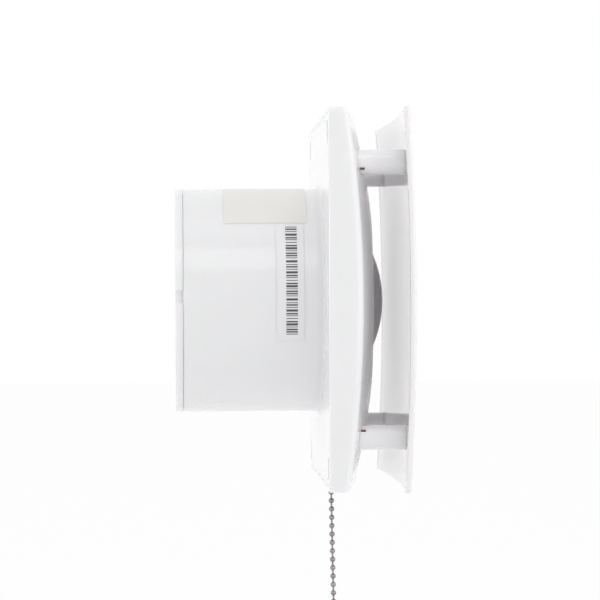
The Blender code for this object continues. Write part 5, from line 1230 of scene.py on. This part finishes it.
pan_screws("cover_fixing", "cover_screw", COVER_SCREWS, 0.0128, 0.0014, *COVER_SCREW, thread=0.0070)


# Inlet guard and its cap
# A moulded grille that stops fingers: a rim, two rings and eight ribs, and a middle plate. A
# domed cap clicks on to the plate and hides the motor.
GUARD_BACK = 0.0115
GUARD_FRONT = 0.0176
GUARD_RADIUS = 0.0481
RIB_BACK = GUARD_FRONT - 0.0034
CAP_RADIUS = 0.0250
CAP_BASE = 0.0179
CAP_RISE = 0.0065
CAP_SKIRT = 0.0037
CAP_WALL = 0.0014
guard = turned("finger_guard", [
    (GUARD_BACK, GUARD_RADIUS, 0.0002), (GUARD_FRONT, GUARD_RADIUS, 0.0003),
    (GUARD_FRONT, GUARD_RADIUS - 0.0017, 0.0004), (GUARD_BACK, GUARD_RADIUS - 0.0017, 0.0002)],
    white_plastic, sides=96)
ribs = []
for k in range(8):
    rib = block("rib", (RIB_BACK, CAP_RADIUS - 0.0017, -0.0007),
                (GUARD_FRONT, GUARD_RADIUS - 0.00085, 0.0007), rounding=0.0003)
    rib.data.transform(Matrix.Rotation(2 * math.pi * (k + 0.5) / 8, 4, "X"))
    ribs.append(rib)
joined(guard, ribs)
for radius in (0.03247, 0.03997):
    joined(guard, turned("ring", hoop(RIB_BACK + 0.0003, GUARD_FRONT - 0.0003, radius, radius + 0.0014,
                                      0.0003), sides=96))
lip = CAP_RADIUS - CAP_WALL - 0.0003
joined(guard, turned("plate", [
    (GUARD_FRONT - CAP_WALL, 0.0), (GUARD_FRONT - CAP_WALL, CAP_RADIUS, 0.0003),
    (GUARD_FRONT, CAP_RADIUS, 0.0003), (GUARD_FRONT, lip, 0.0001), (GUARD_FRONT + 0.0018, lip, 0.0003),
    (GUARD_FRONT + 0.0018, lip - CAP_WALL, 0.0003), (GUARD_FRONT - 0.00035, lip - CAP_WALL, 0.0001),
    (GUARD_FRONT - 0.00035, 0.0)], sides=96))
placed(guard, "inlet_guard")
dome = (CAP_RADIUS ** 2 + CAP_RISE ** 2) / (2 * CAP_RISE)
reach = math.asin(CAP_RADIUS / dome)
top = CAP_BASE + CAP_SKIRT + CAP_RISE
outside = [(top - dome * (1 - math.cos(reach * k / 14)), dome * math.sin(reach * k / 14))
           for k in range(1, 14)]
inside = [(x - CAP_WALL, r * (CAP_RADIUS - CAP_WALL) / CAP_RADIUS) for x, r in reversed(outside)]
cap = turned("dome_cap", [
    (top, 0.0), *outside, (top - CAP_RISE, CAP_RADIUS, 0.0007), (CAP_BASE, CAP_RADIUS, 0.0002),
    (CAP_BASE, CAP_RADIUS - CAP_WALL, 0.0002), (top - CAP_RISE - CAP_WALL, CAP_RADIUS - CAP_WALL),
    *inside, (top - CAP_WALL, 0.0)], white_plastic, sides=96)
placed(cap, "guard_cap")


# Posts
# Four hollow white posts on the base's studs. Each has a small slot low on its outer side, with a
# dark red block set in it as painted shade, and the panel's peg plugs into its front end.
POST_RADIUS = 0.0052
POST_FRONT = 0.03297
SLOT_LENGTH = 0.0021
SLOT_DROP = 0.0030              # from the post's middle
PAD_X = 0.0330
# A dark red-brown colour, painted into each post's slot as its shade.
slot_shade_paint = plastic("painted slot shade", (0.16, 0.06, 0.05), 0.40)
for number, (y, z) in enumerate(POSTS, start=1):
    post = turned(f"post_shell_{number}", [
        (0.0086, 0.0), (0.0086, 0.0029), (0.0025, 0.0029), (0.0025, POST_RADIUS, 0.0003),
        (POST_FRONT, POST_RADIUS, 0.00006), (POST_FRONT, 0.0031, 0.0004), (0.0194, 0.0031),
        (0.0194, 0.0)], white_plastic, sides=64, place=at(y, z))
    side = math.copysign(1, y)
    middle = z - math.copysign(SLOT_DROP, z)
    outside_y = math.sqrt(POST_RADIUS ** 2 - SLOT_DROP ** 2)
    face = cover_height(y, z) - 0.0002
    carved(post, block("slot", (face, y + side * (outside_y - 0.0014), middle - 0.0005),
                       (face + SLOT_LENGTH, y + side * POST_RADIUS * 1.2, middle + 0.0005)))
    placed(post, f"post_{number}")
    # A dark block inside each slot: painted shade, not a part of the fan.
    slot_shade_block = block(f"post_slot_shade_{number}",
                  (face + 0.0001, y + side * (outside_y - 0.0013), middle - 0.0004),
                  (face + SLOT_LENGTH - 0.0001, y + side * (outside_y - 0.0003), middle + 0.0004),
                  slot_shade_paint, rounding=0.0001)
    placed(slot_shade_block, None)


# Front panel
# The panel that hides the inlet: a thin glossy domed square with a softly rounded edge. Four pads
# and pegs on its back plug into the posts, and it pulls straight off.
PANEL_HALF = 0.0804
PANEL_HEIGHTS = (0.0365, 0.0339, 0.0313)      # its back, at crown, edge and corner
PANEL_THICKNESS = 0.0026
PANEL_CORNER = 0.0005


def panel_back(y, z):
    return pillow(y, z, PANEL_HALF, *PANEL_HEIGHTS)


panel_white = plastic("panel white", (0.920, 0.905, 0.910), 0.07, scale=900.0, depth=0.000006,
                      seep=0.3)
panel_loops = [[(panel_back(0, 0), 0, 0)]]
panel_loops += [square_loop(PANEL_HALF, PANEL_CORNER, panel_back, k / 12) for k in range(1, 12)]
# Steps of the panel's rim from back to front: how far in, and how far forward.
RIM = ((0.0005, 0.0), (0.00015, 0.00015), (0.0, 0.0005), (0.0, 0.0012), (0.0, 0.0018),
       (0.0001, 0.0021), (0.0003, 0.0024), (0.0007, 0.00258))
for inset, rise in RIM:
    panel_loops.append(square_loop(PANEL_HALF - inset, PANEL_CORNER,
                                   lambda y, z: panel_back(y, z) + rise))
panel_loops += [square_loop(PANEL_HALF, PANEL_CORNER,
                            lambda y, z: panel_back(y, z) + PANEL_THICKNESS, k / 12)
                for k in range(11, 0, -1)]
panel_loops.append([(panel_back(0, 0) + PANEL_THICKNESS, 0, 0)])
panel = lofted("floating_panel", panel_loops, panel_white)
joined(panel, rods(POST_RADIUS, PAD_X, PAD_X + 0.0019, POSTS, 64))
joined(panel, [
    turned("peg", [(0.0200, 0.0), (0.0200, 0.0028, 0.0004), (PAD_X + 0.0006, 0.0028),
                   (PAD_X + 0.0006, 0.0)], sides=32, place=at(y, z))
    for y, z in POSTS])
placed(panel, "front_panel", "panel")
